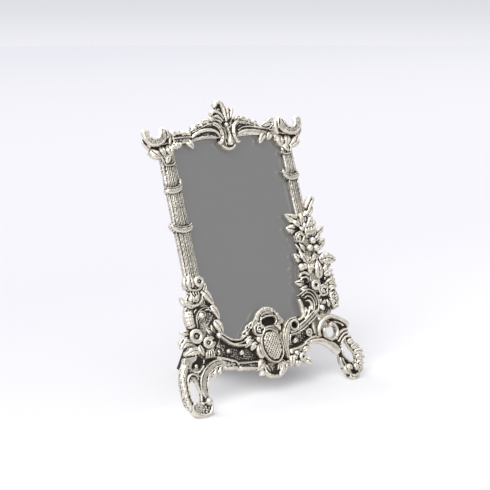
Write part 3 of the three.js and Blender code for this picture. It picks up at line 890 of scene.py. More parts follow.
def horn(side):
    """Thick C-scroll lying on its back over a leafy capital, with a thin crescent behind it."""
    around = [
        (56.8, 223.2, 2.3, -0.8), (56.9, 218.6, 4, -0.1), (59, 213.8, 3.9, 0.1), (63.6, 211, 3.2, 0.1),
        (68.6, 212, 3.3, -0.1), (71.2, 215.6, 3.4, -0.3), (71.5, 219.4, 3.4, -0.6),
        (71.2, 222.6, 3.2, -0.9),
    ]
    body = [
        (54, 210), (54, 219.6), (58, 219.6), (60, 214.8), (65, 212.8), (69, 215), (70, 219.6),
        (73, 219.6), (73, 213.6), (68, 209.4), (60, 208.6),
    ]
    shapes = [scroll(around, -3.2, flat_profile), slab(body, -6, -2.4, smooth=False)]
    cheek = [(52.8, 208.8, 1.4, -0.9), (51.8, 213.2, 1.9, -0.4), (52, 217.6, 2, -0.2),
        (53.6, 221.2, 1.7, -0.4)]
    shapes.append(scroll(cheek, -6))
    ribs = [
        [(53.8, 213.2, 0.7, 0.4), (53.6, 217.8, 0.8, 0.7), (55, 222, 0.8, 0.2)],
        [(58.6, 221.4, 0.6, 0.2), (59.4, 217.2, 0.7, 0.6), (62.4, 214, 0.7, 0.7), (66.6, 213.8, 0.7, 0.5),
            (69.2, 217.2, 0.6, 0)],
        [(57.4, 212.4, 0.6, 0.4), (62, 209.4, 0.7, 0.6), (68.4, 210, 0.7, 0.4), (73, 214.6, 0.7, 0),
            (73.8, 220, 0.6, -0.4)],
    ]
    shapes += scrolls(ribs, -3)
    shapes.append(scroll([(74.4, 216, 1, -3.6), (73.8, 211.6, 1.4, -3.2), (70.6, 207.4, 1.5, -3.2),
        (66.4, 205.6, 1.2, -3.4)], -5.2))
    shapes.append(slab([(50, 201), (62, 201), (66.5, 204), (69, 208), (60, 209), (50, 208)], -6, -4.2))
    capital = [
        ((69.4, 206.4), (60.6, 199.4), 3.3, 1.4),
        ((60.6, 208.4), (57.8, 199.8), 2.5, 0.4),
        ((54.6, 208.6), (53.4, 199.4), 3.4, -0.8),
    ]
    shapes += sprigs(capital, rise=-0.6, low=-3, thick=3.4)
    return spread(shapes, centre=(62, 206, 0), factors=(1.17, 1.08, 1)) if side > 0 else mirrored(shapes)


def shaft(collars, inner=49.6, outer=62.2):
    """Square pillar in lengths like cane: a beaded outer edge, a rough striped face and flared collars."""
    foot, head = 45.3, 201
    middle = (inner + outer) / 2
    section = [
        (inner, -7.4), (inner, -3.8), (inner + 0.5, -3), (middle - 3, -2.7), (middle, -2.6),
        (outer - 3.4, -2.8), (outer - 2.4, -3.2), (outer - 1.8, -4.2), (outer - 1.3, -3.3),
        (outer - 0.6, -3.2), (outer, -4), (outer, -7.4),
    ]
    rings = []
    for v in np.arange(foot, head + 0.5, 0.8):
        above = min([v - c - 2 for c, _ in collars if v > c + 2] or [v - foot])
        below = min([c - v for c, _ in collars if v < c] or [9])
        flare = 1 + 0.05 * math.exp(-((below / 4) ** 2)) + 0.06 * math.exp(-((above / 7) ** 2))
        dip = 0.9 * math.exp(-((above / 2.6) ** 2))
        rings.append([(middle + (u - middle) * flare, v, r if r < -7 else r - dip) for u, r in section])
    shapes = [loft(rings)]
    for v, rows in collars:
        shapes.append(scroll(rows, -7, flat_profile))
        shapes.append(scroll([(u, w + 0.9 * half, 0.5, top + 0.5) for u, w, half, top in rows], -5))
    shapes.append(leaf([(54.4, 200.6, -2), (56.6, 197.2, -0.8), (58.8, 194.2, -1.8)], 2.1, 1, cup=1,
        thick=2.6, notch=0))
    ties = [
        [(50.2, 195.2, 0.8, -1.8), (52.8, 193, 1, -1.2), (57, 192.6, 1, -1.2), (60.6, 193.4, 0.8, -2)],
        [(62, 200.4, 0.8, -2.2), (60.6, 196.2, 0.9, -1.6), (59.8, 193, 0.8, -2)],
    ]
    return shapes + scrolls(ties)


LEFT_COLLARS = (
    (141.6, [(65.4, 147.4, 1.4, -2.2), (63, 144.2, 2.2, -1.4), (58.6, 142, 2.6, -1.2),
        (53.6, 141.6, 2.7, -1.2), (49.6, 142.6, 2.4, -1.2), (47.4, 145, 1.6, -1.6)]),
    (172.8, [(63.6, 174, 2, -2), (60, 172.8, 2.5, -1.4), (55, 172.8, 2.6, -1.2), (51.6, 174, 2.4, -1.2),
        (50, 177.2, 1.8, -1.4), (49.6, 180.4, 1.4, -1.8)]),
)
RIGHT_COLLARS = (
    (173, [(63.4, 176.4, 1.6, -1.8), (61.4, 173.6, 2.4, -1.4), (57.2, 172.4, 2.6, -1.2),
        (52.6, 173, 2.4, -1.2), (49.4, 175.6, 1.8, -1.4), (47.6, 179.6, 1.3, -1.8)]),
)


def cane_face(points):
    """Fine bark-like grain on the front of a pillar: uneven upright reeds broken into grains."""
    u, v, r = points.T
    front = np.clip((r + 4.4) / 0.5, 0, 1) * np.clip((-2.2 - r) / 0.2, 0, 1)
    drift = noise(u * 0.5, v * 0.06, 3) * 0.5
    reeds = np.cos(2 * np.pi * (np.abs(u) + drift) / 1.3)
    return front * (0.15 * reeds + 0.07 * noise(u * 2.2, v * 0.6, 9) + 0.07 * noise(u, v * 1.5, 19))


def base():
    """Rail under the glass: a sunk ground between a moulding along the glass and a jointed lower rail."""
    outline = [
        (-48.6, 38), (-48.6, 54), (-44, 58), (-38, 55), (-33, 51), (-27, 48.5), (-20, 50), (-14, 56),
        (-8, 63), (-3, 66), (3, 66), (9, 63), (15, 57), (22, 58), (32, 58), (40, 62), (48.6, 60),
        (48.6, 39), (40, 37), (30, 32), (18, 28), (8, 22), (-6, 22), (-13, 26), (-30, 29.5), (-42, 31),
    ]
    shapes = [
        slab(outline, CAST_BACK, -5, smooth=False),
        scroll([(-46, 60, 1.2, -1), (-41, 54.8, 1.6, -0.6), (-36, 50.2, 1.6, -0.4),
            (-30, 47.2, 1.6, -0.4), (-22, 46, 1.5, -0.6), (-16, 46.6, 1.2, -1.2)]),
        scroll([(-42.5, 60.4, 1.1, -1.6), (-37.5, 55.2, 1.3, -1.2), (-32, 52, 1.3, -1.2),
            (-25.5, 51.2, 1.3, -1.2), (-19.5, 53.8, 1.2, -1.6), (-13.5, 58.8, 1, -2)], ripple=(1.9, 0.4)),
        scroll([(-38.5, 51.8, 0.7, -1.4), (-33.5, 49.2, 0.8, -1), (-27, 48.4, 0.8, -1),
            (-20, 49.4, 0.7, -1.4)]),
        scroll([(-48, 36.8, 4.6, -1.8), (-40, 34.8, 4.6, -1.6), (-33.4, 33, 4.2, -1.6)],
            profile=flat_profile),
        scroll([(-32.4, 31.6, 3.9, -1.7), (-24, 30.2, 3.8, -1.6), (-14, 28.2, 3.6, -1.8)],
            profile=flat_profile),
        scroll([(-51, 41.6, 1.4, -0.4), (-44, 39.4, 1.5, -0.4), (-38, 36.8, 1.5, -0.4),
            (-33.6, 34.8, 1.3, -0.6), (-31.6, 31.6, 1, -0.8)]),
        scroll([(-33.6, 33.8, 0.8, -1), (-27, 32.8, 1.2, -0.6), (-20, 32, 1.2, -0.6),
            (-13, 31.2, 1.1, -0.8)]),
        scroll([(-45, 32.4, 1.4, -1.4), (-39, 31.4, 1.7, -1), (-32.8, 30.4, 1.6, -0.8)]),
        scroll([(-31.4, 29.6, 1.5, -0.8), (-24, 28.4, 1.6, -0.6), (-14, 26.2, 1.5, -0.8)]),
        scroll([(45.4, 53, 1.5, -1.4), (45.2, 47.5, 1.8, -1), (45.8, 42.4, 1.6, -1.2)],
            profile=flat_profile),
        scroll([(17, 33.4, 2.7, -1.4), (25, 33.6, 2.7, -1), (33, 35.4, 2.6, -1), (40, 38, 2.4, -1.2)],
            profile=flat_profile),
        scroll([(33, 37.6, 1.2, -1.2), (39, 40, 1.5, -0.8), (44, 40.6, 1.4, -0.8), (49, 39.2, 1.2, -1)]),
    ]
    for (u, v), size in (((-38.2, 44.4), 1.7), ((-26.4, 41.2), 2), ((25.6, 41.6), 2.4)):
        spine = [(u - size * 0.8, v - size, -3), (u, v, -1.2), (u + size * 0.8, v + size, -3)]
        shapes.append(leaf(spine, size * 0.75, 1, cup=1, thick=2.8, notch=0))
    ring = [(39.6 + 2.3 * math.cos(a), 45 + 2.5 * math.sin(a), -2, 0.95) for a in np.linspace(0, 6.6, 16)]
    shapes.append(tube(ring))
    shapes.append(ball(39.8, 45, -2.6, 1.5))
    leaves = [
        ([(-12.4, 46, -2.4), (-18, 47.4, -0.4), (-22.6, 44, -2)], 2.8, 1),
        ([(-10, 43.4, -2.4), (-14.4, 44.4, -0.2), (-18, 40.6, -2)], 2.7, 1),
        ([(-12, 50.5, -2.6), (-17.4, 50.2, -1.2), (-23.4, 48.4, -2.6)], 1.9, 3),
        ([(-12.6, 54.5, -3), (-17, 53.2, -2), (-24.5, 52.6, -3)], 2, 4),
        ([(-14, 57, -3.4), (-18, 56.4, -2.4), (-22.6, 54.6, -3.6)], 1.6, 2),
        ([(-11, 59, -3.4), (-14.8, 60, -2.4), (-19, 57.6, -3.6)], 1.6, 2),
        ([(-8.6, 33, -1.8), (-10.6, 39.6, -0.2), (-10, 46.4, -1.6)], 2.9, 1),
        ([(-7.4, 31, -2.4), (-12, 28.4, 0.4), (-15.8, 24.8, -1.8)], 3.5, 1),
        ([(-7.4, 24.6, -3), (-11, 21.4, -1.6), (-14, 21, -2.8)], 1.7, 1),
    ]
    lower_leaves = [
        ((17.6, 30.4), (14.8, 21.8), 2.7, 0.8),
        ((22.6, 26.6), (22, 20.4), 2.4, -0.4),
        ((28.8, 31.6), (37.6, 32.6), 2.3, 0.5),
        ((30.2, 26.4), (36.6, 20.6), 2.8, -0.8),
        ((21.4, 30.6), (19.4, 26), 1.7, 0.2),
    ]
    shapes += sprigs(lower_leaves, rise=0.8, low=-1.2, thick=3.8, notch=0)
    shapes.append(ball(23.2, 31.2, -1.6, 2.4))
    shapes += [leaf(spine, width, lobes, cup=0.9, thick=3) for spine, width, lobes in leaves]
    shapes += ring_flower(27.4, 27.2, -1.6, 3.7, 1.5)
    shapes += bloom(-8.8, 55.4, -0.4, 5.4)
    shapes.append(ball(-9.4, 48.4, -1.6, 3, 0.9))
    return shapes


def base_ground():
    """Hammered ground of the sunk panels."""
    left = [(-47, 41), (-44, 52), (-40, 51), (-33, 45.5), (-26, 44), (-16, 44), (-12, 40), (-14, 33.5),
        (-25, 35.5), (-34, 37)]
    right = [(16, 36), (16, 46), (21, 48), (31, 49.5), (42, 54), (47, 56), (48, 40), (40, 40), (30, 37)]
    return [slab(left, -6.4, -4.8), slab(right, -6.4, -4.8)]


def scallop():
    """Plump hooded shell over the cartouche, lumpy all over, with a dark slot in a bright rim."""
    hood = [
        (-14.8, 57.6), (-12.4, 61.4), (-9.6, 65.2), (-6.6, 68.6), (-3, 71), (1, 72.2), (5.4, 71.4),
        (9.4, 69), (12.2, 65.4), (15, 61.6), (17, 58.4), (12, 56.6), (10, 58), (10.2, 62), (8.2, 64.2),
        (-4.4, 64.2), (-6, 62), (-5.8, 58), (-8, 56.6),
    ]
    slot = [
        (-2.2, 56.7, 0.8, -0.6), (-4.9, 58.6, 1, 0.2), (-4.9, 62.6, 1.2, 0.7), (-1.4, 64.2, 1.2, 1),
        (2.8, 64.6, 1.2, 1.1), (7, 64.2, 1.2, 1), (9.6, 62.4, 1.1, 0.5), (9.4, 58.6, 1, 0),
        (6.8, 56.7, 0.8, -0.6),
    ]
    shapes = [
        slab([(-7, 56.6), (11, 56.6), (10, 65), (-6, 65)], -6.2, -4.8, smooth=False),
        slab(hood, -5.4, -1),
        scroll(slot, -5.8),
        scroll([(-3.4, 55.6, 1, 0.2), (1.6, 56.4, 1.3, 1), (6.8, 55.8, 1, 0.2)], -6),
    ]
    for k, a in enumerate(np.linspace(0.16, 2.98, 11)):
        size = 1.7 + 0.5 * (k % 2)
        shapes.append(ball(2.2 + 10.6 * math.cos(a), 59.4 + 10.6 * math.sin(a), -1.5, size, 0.55))
        if 1 < k < 9:
            shapes.append(ball(2.2 + 7.2 * math.cos(a + 0.13), 60.2 + 7.2 * math.sin(a + 0.13), -1.3, 1.5,
                0.6))
    for spine, width, lobes in (
        ([(-7.6, 60.4, -2.2), (-11.6, 61.4, -1.2), (-16.6, 58, -2.8)], 2.3, 2),
        ([(11, 62.4, -1.8), (13.6, 60.4, -0.8), (16.4, 56.4, -2)], 2.3, 2),
        ([(8.4, 57.2, -1.4), (11, 55.6, -0.4), (12.6, 51.4, -1.8)], 1.9, 1),
    ):
        shapes.append(leaf(spine, width, lobes, cup=0.9, thick=3.2))
    return shapes


def medallion():
    """Oval boss crossed with a lattice, leaning a little, in a smooth rim beyond a dark channel."""
    def oval(half_u, half_v, half, top, steps=40):
        rows = []
        for a in np.linspace(0, 2 * np.pi * 1.02, steps):
            u = 0.6 + half_u * math.cos(a) - 0.10 * half_v * math.sin(a)
            rows.append((u, 41.2 + half_v * math.sin(a), half, top))
        return rows

    dome = []
    for s in np.linspace(0.02, 1, 12):
        level = 2 * math.sqrt(max(0, 1 - s * s))
        dome.append([(u, v, level) for u, v, *_ in oval(7.4 * s, 11.4 * s, 0, 0, 49)[:-1]])
    under = [[(u, v, -2.4) for u, v, _ in dome[-1]]]
    shapes = [loft(dome + under)]
    shapes += lattice(0.6, 41.2, 7.2, 11.2, 1.45, 1.9)
    shapes.append(scroll(oval(9.4, 13.2, 0.95, 1.4), -2.4, points=9, step=1))
    shapes.append(slab([row[:2] for row in oval(9.2, 13, 0, 0)[:-1]], -2.5, -0.9, smooth=False))
    return shapes


def drop():
    """Ribbed bell below the cartouche, in a crumpled turned-up lip."""
    back = -5.4
    shapes = [slab([(-8, 28), (-7, 20), (1, 16.5), (9, 20), (12, 28)], -6.4, -3.4)]
    for k in range(4):
        u = 4 + 1.9 * k
        shapes.append(scroll([(u + 1, 28, 0.7, -1.4), (u + 0.2, 25, 0.85, -1), (u - 1.6, 21, 0.6, -1.8)],
            back))
    shapes.append(scroll([(-6.4, 27.6, 1.3, -2.2), (-5.4, 24.4, 1.4, -2), (-3.6, 21.4, 1.1, -2.6)], back))
    shapes.append(leaf([(9, 24.6, -1.6), (6.8, 20.8, -0.4), (3.4, 18.6, -1.6)], 1.5, 1, thick=2.6, notch=0))
    lip = [
        (-8.6, 27, 1.2, -1.4), (-8, 22.4, 1.5, -1), (-4.6, 18.6, 1.7, -0.6), (1.4, 17, 1.8, -0.4),
        (7.4, 18.6, 1.7, -0.6), (11.4, 22.4, 1.5, -1), (12.6, 27, 1.2, -1.4),
    ]
    shapes.append(scroll(lip, -5.6, ripple=(3.4, 0.6)))
    shapes.append(leaf([(-8, 25.4, -3), (-11.6, 23, -1.8), (-13.4, 20.4, -3)], 1.6, 1, thick=2.6))
    shapes.append(leaf([(11, 26, -3), (15, 24.8, -1.8), (17, 22, -3)], 1.5, 1, thick=2.6))
    return shapes


def acanthus():
    """Broad C-scroll beside the cartouche with a pierced eye and the long leaf that sweeps from it."""
    eye = [(25.8 + 3.9 * math.cos(a), 53.4 + 3.7 * math.sin(a), 1.2, 0.9) for a in np.linspace(0, 6.45, 24)]
    bands = [
        [(15.4, 28.8, 1.6, -0.8), (14.6, 34, 2.2, -0.1), (14.8, 40, 2.9, 0.4), (16.2, 46.4, 3.8, 0.5),
            (19.4, 52.2, 3.8, 0.5), (23.2, 57, 2.4, 0.5), (29.6, 58, 1.8, 0.3)],
        [(13.8, 28.8, 0.7, -0.2), (12.6, 34, 0.8, 0.6), (12.2, 40.4, 0.9, 1.1), (13, 47.4, 0.9, 1.2),
            (16.4, 54, 0.9, 1.2), (21.6, 58.4, 0.9, 1.1), (28.6, 59.4, 0.8, 0.9)],
        [(16.6, 38.4, 0.6, 0.2), (16.4, 42.6, 0.7, 0.9), (18.2, 47.4, 0.6, 0.8)],
        [(18.6, 39.4, 0.6, 0), (18.6, 43, 0.7, 0.7), (20.4, 47, 0.6, 0.6)],
        eye,
        [(20.4, 48.2, 2, -0.2), (26.6, 48.8, 2.3, 0.2), (33.4, 51.4, 3, 0.4), (40.6, 55.2, 3.2, 0.4),
            (47.4, 59, 2.6, 0.2), (53.4, 61.6, 1.5, -0.4)],
        [(19.6, 46.4, 0.8, 0.4), (26.4, 46.6, 0.8, 1), (34.2, 49, 0.9, 1.2), (42, 53, 0.9, 1.2),
            (50, 57.4, 0.8, 0.6)],
        [(30.6, 52.4, 0.8, 0.8), (35.6, 54.6, 1, 1.2), (41.4, 58, 1, 1.2), (47.8, 61.4, 0.8, 0.6)],
        [(30.4, 56.4, 1.2, -0.2), (34.6, 57.6, 1.5, 0.4), (38.4, 60.6, 1.5, 0.4), (41.2, 64.6, 1.1, -0.4)],
        [(36.6, 56.4, 1, 0), (40.4, 58.6, 1.2, 0.6), (43.4, 62.4, 1.2, 0.4), (45.4, 66, 0.9, -0.2)],
    ]
    ground = slab([(11, 38), (12, 54), (18, 58.4), (28, 58.6), (36, 60), (36, 54), (22, 50), (18, 44),
        (17, 34), (13, 30)], -6.6, -4.8, smooth=False)
    return [ground] + [scroll(rows, -4.2, points=11, step=0.5) for rows in bands]


def cluster():
    """Lower left of the frame: pods along the glass, a cupped leaf, a gadrooned scroll and flowers."""
    back = -6
    shapes = [
        slab([(-62, 93), (-62, 104), (-54, 105), (-50, 98), (-45, 88), (-42, 76), (-41, 62), (-46, 50),
            (-60, 47), (-64, 50), (-67, 58), (-67, 78), (-67, 86)], -6.6, -3.4),
        leaf([(-60, 95, -1.4), (-60, 101, 0.6), (-59.6, 107.2, -1.2)], 3.4, 1, cup=1.2, thick=3.6, notch=0),
        leaf([(-63.6, 96, -1.8), (-64.2, 100, -0.4), (-63.4, 105.4, -1.8)], 1.8, 1, cup=1.2, thick=3,
            notch=0),
        scroll([(-62.8, 98.4, 0.9, -0.8), (-60.8, 95.4, 1.3, 0.2), (-56, 94.4, 1.5, 0.6),
            (-51.6, 96, 1.4, 0.4), (-49.4, 99.4, 1, -0.4)], back),
        leaf([(-60, 83.4, -0.6), (-65, 84.2, 0.8), (-68.6, 87, 0.2), (-71, 91.4, -1)], 2.8, 2, cup=0.9,
            thick=3),
        leaf([(-62, 82.6, -1.4), (-67, 82, -0.6), (-69.6, 79.4, -1.8)], 1.9, 2, cup=0.9, thick=2.6),
        scroll([(-69, 87.6, 0.9, 0), (-65.6, 84.4, 1.4, 1), (-60.8, 83, 1.7, 1.6), (-56, 84.2, 1.5, 1.2),
            (-53, 87.4, 1.2, 0.4), (-51.6, 90.4, 0.9, -0.6)], back),
        leaf([(-62.8, 85.2, -0.4), (-61.6, 88.6, 0.8), (-61.4, 91.6, -0.6)], 2.4, 1, cup=1, thick=2.6,
            notch=0),
        leaf([(-58.8, 85.4, -0.6), (-57.4, 88.2, 0.4), (-55.6, 90.6, -0.8)], 1.9, 1, cup=1, thick=2.6,
            notch=0),
        scroll([(-46.6, 80.2, 1, -0.8), (-51, 81, 1.5, 0.4), (-57, 80.4, 1.8, 1.2),
            (-61.4, 77.2, 1.9, 1.6), (-63, 71.6, 1.8, 1.2), (-62.4, 65.6, 1.4, 0.4)], back, lip_profile),
        scroll([(-60.2, 71.2, 0.9, 0.4), (-59.8, 75.6, 1.1, 1), (-56.6, 78, 1.1, 1),
            (-53.4, 76.2, 1, 0.8), (-54, 72.8, 0.9, 0.4)], back),
        ball(-57.2, 74.6, 0.2, 2.6),
        scroll([(-53, 78, 0.8, -0.6), (-49.4, 78.6, 1, -0.2), (-46.4, 76.4, 0.9, -0.6)], back),
        leaf([(-68, 64, -2), (-72.4, 64.4, -0.8), (-76.4, 65.4, -2.2)], 2.1, 1, thick=2.6, notch=0),
        leaf([(-68, 61.6, -2.2), (-71.4, 60.2, -1.6), (-73.4, 58, -2.6)], 1.5, 1, thick=2.4, notch=0),
    ]
    bulge = [(-64.6, 82, 3.4, -0.4), (-66.2, 77, 4.4, 0.6), (-66.4, 71.4, 4.4, 0.8), (-65, 65.4, 3.6, 0)]
    shapes.append(scroll(bulge, -5.2, reed_profile, ripple=(2.6, 0.45)))
    for k in range(4):
        u = -61.6 + 2.1 * k
        shapes.append(scroll([(u, 94.2, 0.9, -0.8), (u + 0.3, 91.8, 1, -0.2), (u + 0.8, 89.6, 0.8, -0.8)],
            back))
    pods = [
        ([(-51.6, 90.6, -1.4), (-48.8, 94.2, -0.2), (-46.8, 99, -1.6)], 2.5),
        ([(-52, 95, -1.2), (-47.6, 89.2, 0.4), (-43, 80.6, -1.2)], 3.2),
        ([(-46.2, 81, -1.4), (-43, 76.2, 0), (-40.8, 69.6, -1.4)], 2.8),
        ([(-46, 69.4, -1), (-42.8, 64.2, 0.8), (-41.2, 57.4, -1)], 3.7),
        ([(-48.6, 58.4, -1.8), (-51.8, 61, -1.2), (-53.6, 64.6, -2.2)], 1.4),
        ([(-47.4, 59.6, -1.8), (-48.6, 63, -1.2), (-48.2, 66.6, -2.2)], 1.4),
        ([(-49, 56, -1.6), (-52, 57.4, -1), (-54.6, 60, -2.2)], 1.2),
        ([(-48.4, 53.6, -1.6), (-50.8, 51.4, -1), (-52, 48.8, -2.2)], 1.3),
        ([(-63.2, 53.4, -1), (-62.4, 49, 0.2), (-60.8, 44.6, -1)], 2.3),
    ]
    shapes += [leaf(spine, width, 1, cup=1.1, thick=3, notch=0.1) for spine, width in pods]
    for k in range(4):
        u = -59.6 + 2.2 * k
        shapes.append(scroll([(-56.6 + 0.9 * k, 49.6, 0.8, -0.6), (u + 0.3, 45.6, 1.15, 1),
            (u - 0.2, 41.6, 1, 0.2)], back))
    shapes += ring_flower(-53, 100.6, -1.6, 4.5, 1.5)
    shapes += ring_flower(-65.2, 60.3, -1.2, 5.8, 1.75)
    shapes += ring_flower(-56.2, 53.8, -1.2, 4.7, 1.6)
    shapes += volute(-47.6, 45.4, base=-6.4, radius=3.4, turns=1.25, start=250, half=1.2, top=-0.2)
    shapes.append(ball(-45.4, 57.4, 0, 2.5))
    return shapes


def cluster_ground():
    """Pebbled hollow inside the gadrooned scroll."""
    return [slab([(-61, 60), (-61, 73), (-54, 79), (-46, 78), (-44, 68), (-44, 59), (-50, 56)], -5, -2.6)]


def left_foot():
    """C-scroll foot with a beaded lip round its opening, joined to the arch under the rail."""
    back = -5.2
    lip = [
        (-76.6, 10.8, 0.8, 0.2), (-79, 13.6, 0.9, 0.4), (-79.9, 19, 1, 0.6), (-79.9, 26, 1, 0.6),
        (-78.4, 31.2, 1.1, 0.6), (-75, 33.2, 1.2, 0.6), (-71.4, 31.8, 1.1, 0.4), (-69.8, 28, 0.9, 0),
    ]
    shapes = [
        scroll(lip, -5, ripple=(1.3, 0.35)),
        scroll([(-45, 37.2, 2.6, -1.2), (-51, 37, 2.9, -0.8), (-57, 35.2, 3, -0.4),
            (-62.2, 31.4, 3.1, -0.2), (-66.2, 25.6, 3.4, 0), (-67, 19, 3.2, 0), (-66.2, 13.6, 2.8, 0.2),
            (-65.2, 9.6, 2.2, 0)], back, flat_profile),
        scroll([(-46, 39.2, 0.8, -0.6), (-52, 39.4, 0.9, -0.2), (-58.6, 37.6, 0.9, 0.2),
            (-64.4, 33.4, 0.9, 0.4), (-68.8, 26.4, 0.9, 0.6), (-69.4, 19, 0.8, 0.6)], back),
        scroll([(-46, 35, 0.7, -0.6), (-51.4, 34.6, 0.8, -0.2), (-56.6, 32.6, 0.8, 0),
            (-61.2, 28.6, 0.8, 0.4), (-63.8, 22.6, 0.8, 0.6), (-64.2, 16, 0.8, 0.6)], back),
        scroll([(-80.2, 8.6, 1.8, 0.2), (-77.6, 4.2, 2.4, 0.8), (-73, 1.4, 2.8, 1), (-68.4, 1, 2.8, 1),
            (-64.4, 3.6, 2.4, 0.8), (-62.8, 8.4, 1.9, 0.2)], back),
        ball(-65.5, 10.6, -0.4, 3.2),
        slab([(-50, 44), (-60, 44.4), (-62, 38), (-58, 36), (-50, 38)], -6.2, -3.6, smooth=False),
        slab([(-66.8, 45.6), (-78.4, 45.6), (-80.4, 37), (-77, 32), (-72.4, 34.8), (-73.6, 38),
            (-72.4, 41), (-68, 43)], -6, -1.3, smooth=False),
        slab([(-80.4, 26), (-79.4, 33.6), (-70, 33.6), (-68, 30), (-66, 12), (-71.4, 11.4), (-70.2, 17),
            (-71.4, 22), (-73, 27.6), (-75.4, 28.4), (-78, 27)], back, -0.9, smooth=False),
        leaf([(-67.4, 55.6, -2), (-72.6, 57.2, -0.4), (-79, 53.2, -1.4)], 3.2, 3, cup=0.9, thick=3.2),
        leaf([(-70.6, 59.4, -2.4), (-74.6, 59.6, -1.4), (-79.4, 56.8, -2.2)], 1.8, 1, cup=0.9, thick=2.8,
            notch=0),
        leaf([(-62.6, 48.6, -1.6), (-68.6, 50, 0), (-76.6, 48, -1.2)], 3.6, 4, cup=0.9, thick=3.6),
        slab([(-74, 46), (-62, 46), (-60, 41), (-64, 37), (-73, 36)], -6.2, -4.8, smooth=False),
        ball(-69.2, 38.4, -2.2, 1.7),
        scroll([(-72.8, 34.8, 1.3, -1), (-69, 33.6, 1.5, -0.6), (-65.4, 35, 1.4, -0.8),
            (-62, 38, 1.2, -1)], -5.4),
    ]
    for u, v, size in ((-59.8, 29, 2.4), (-54.4, 29.6, 2.2), (-49.4, 30.8, 1.8)):
        shapes.append(scroll([(u + 3.6, v + 5, 1.1, -1.4), (u + 0.8, v + 2.6, size, -0.2),
            (u - 0.4, v - 0.6, size, -0.4), (u + 1.4, v - 2, 0.9, -1.6)], back))
        shapes.append(scroll([(u + 5, v + 3.6, 0.6, -1.6), (u + 2.8, v + 1, 0.7, -0.8),
            (u + 2.4, v - 0.8, 0.5, -1.6)], back))
    return [within_plane(s) for s in shapes]


def foot_band():
    """Pebbled band of the left foot, round the outside of its opening, and its pebbled heel."""
    rows = [
        (-75.6, 46, 2.4, -1.4), (-77, 41, 3.2, -1), (-80, 36, 3.2, -0.3), (-82.4, 30, 2.8, 0.2),
        (-83, 23, 2.7, 0.4), (-82.6, 16, 2.7, 0.4), (-81.4, 10.6, 2.8, 0.2), (-79.2, 7, 2.4, -0.2),
    ]
    heel = slab([(-78.6, 12.4), (-79.6, 7.6), (-75, 3.6), (-67.6, 3.4), (-65.4, 7.6), (-68.4, 10.4),
        (-72.6, 11.6)], -5.2, 0.2)
    return [within_plane(scroll(rows, -5.2)), within_plane(heel)]


def within_plane(shape):
    """Keeps a shape above the table."""
    verts, faces = np.array(shape[0], float), shape[1]
    z = verts @ PLANE[:, 2] + origin[2]
    verts[:, 1] += np.clip(0.15 - z, 0, None) / PLANE[1, 2]
    return verts, faces


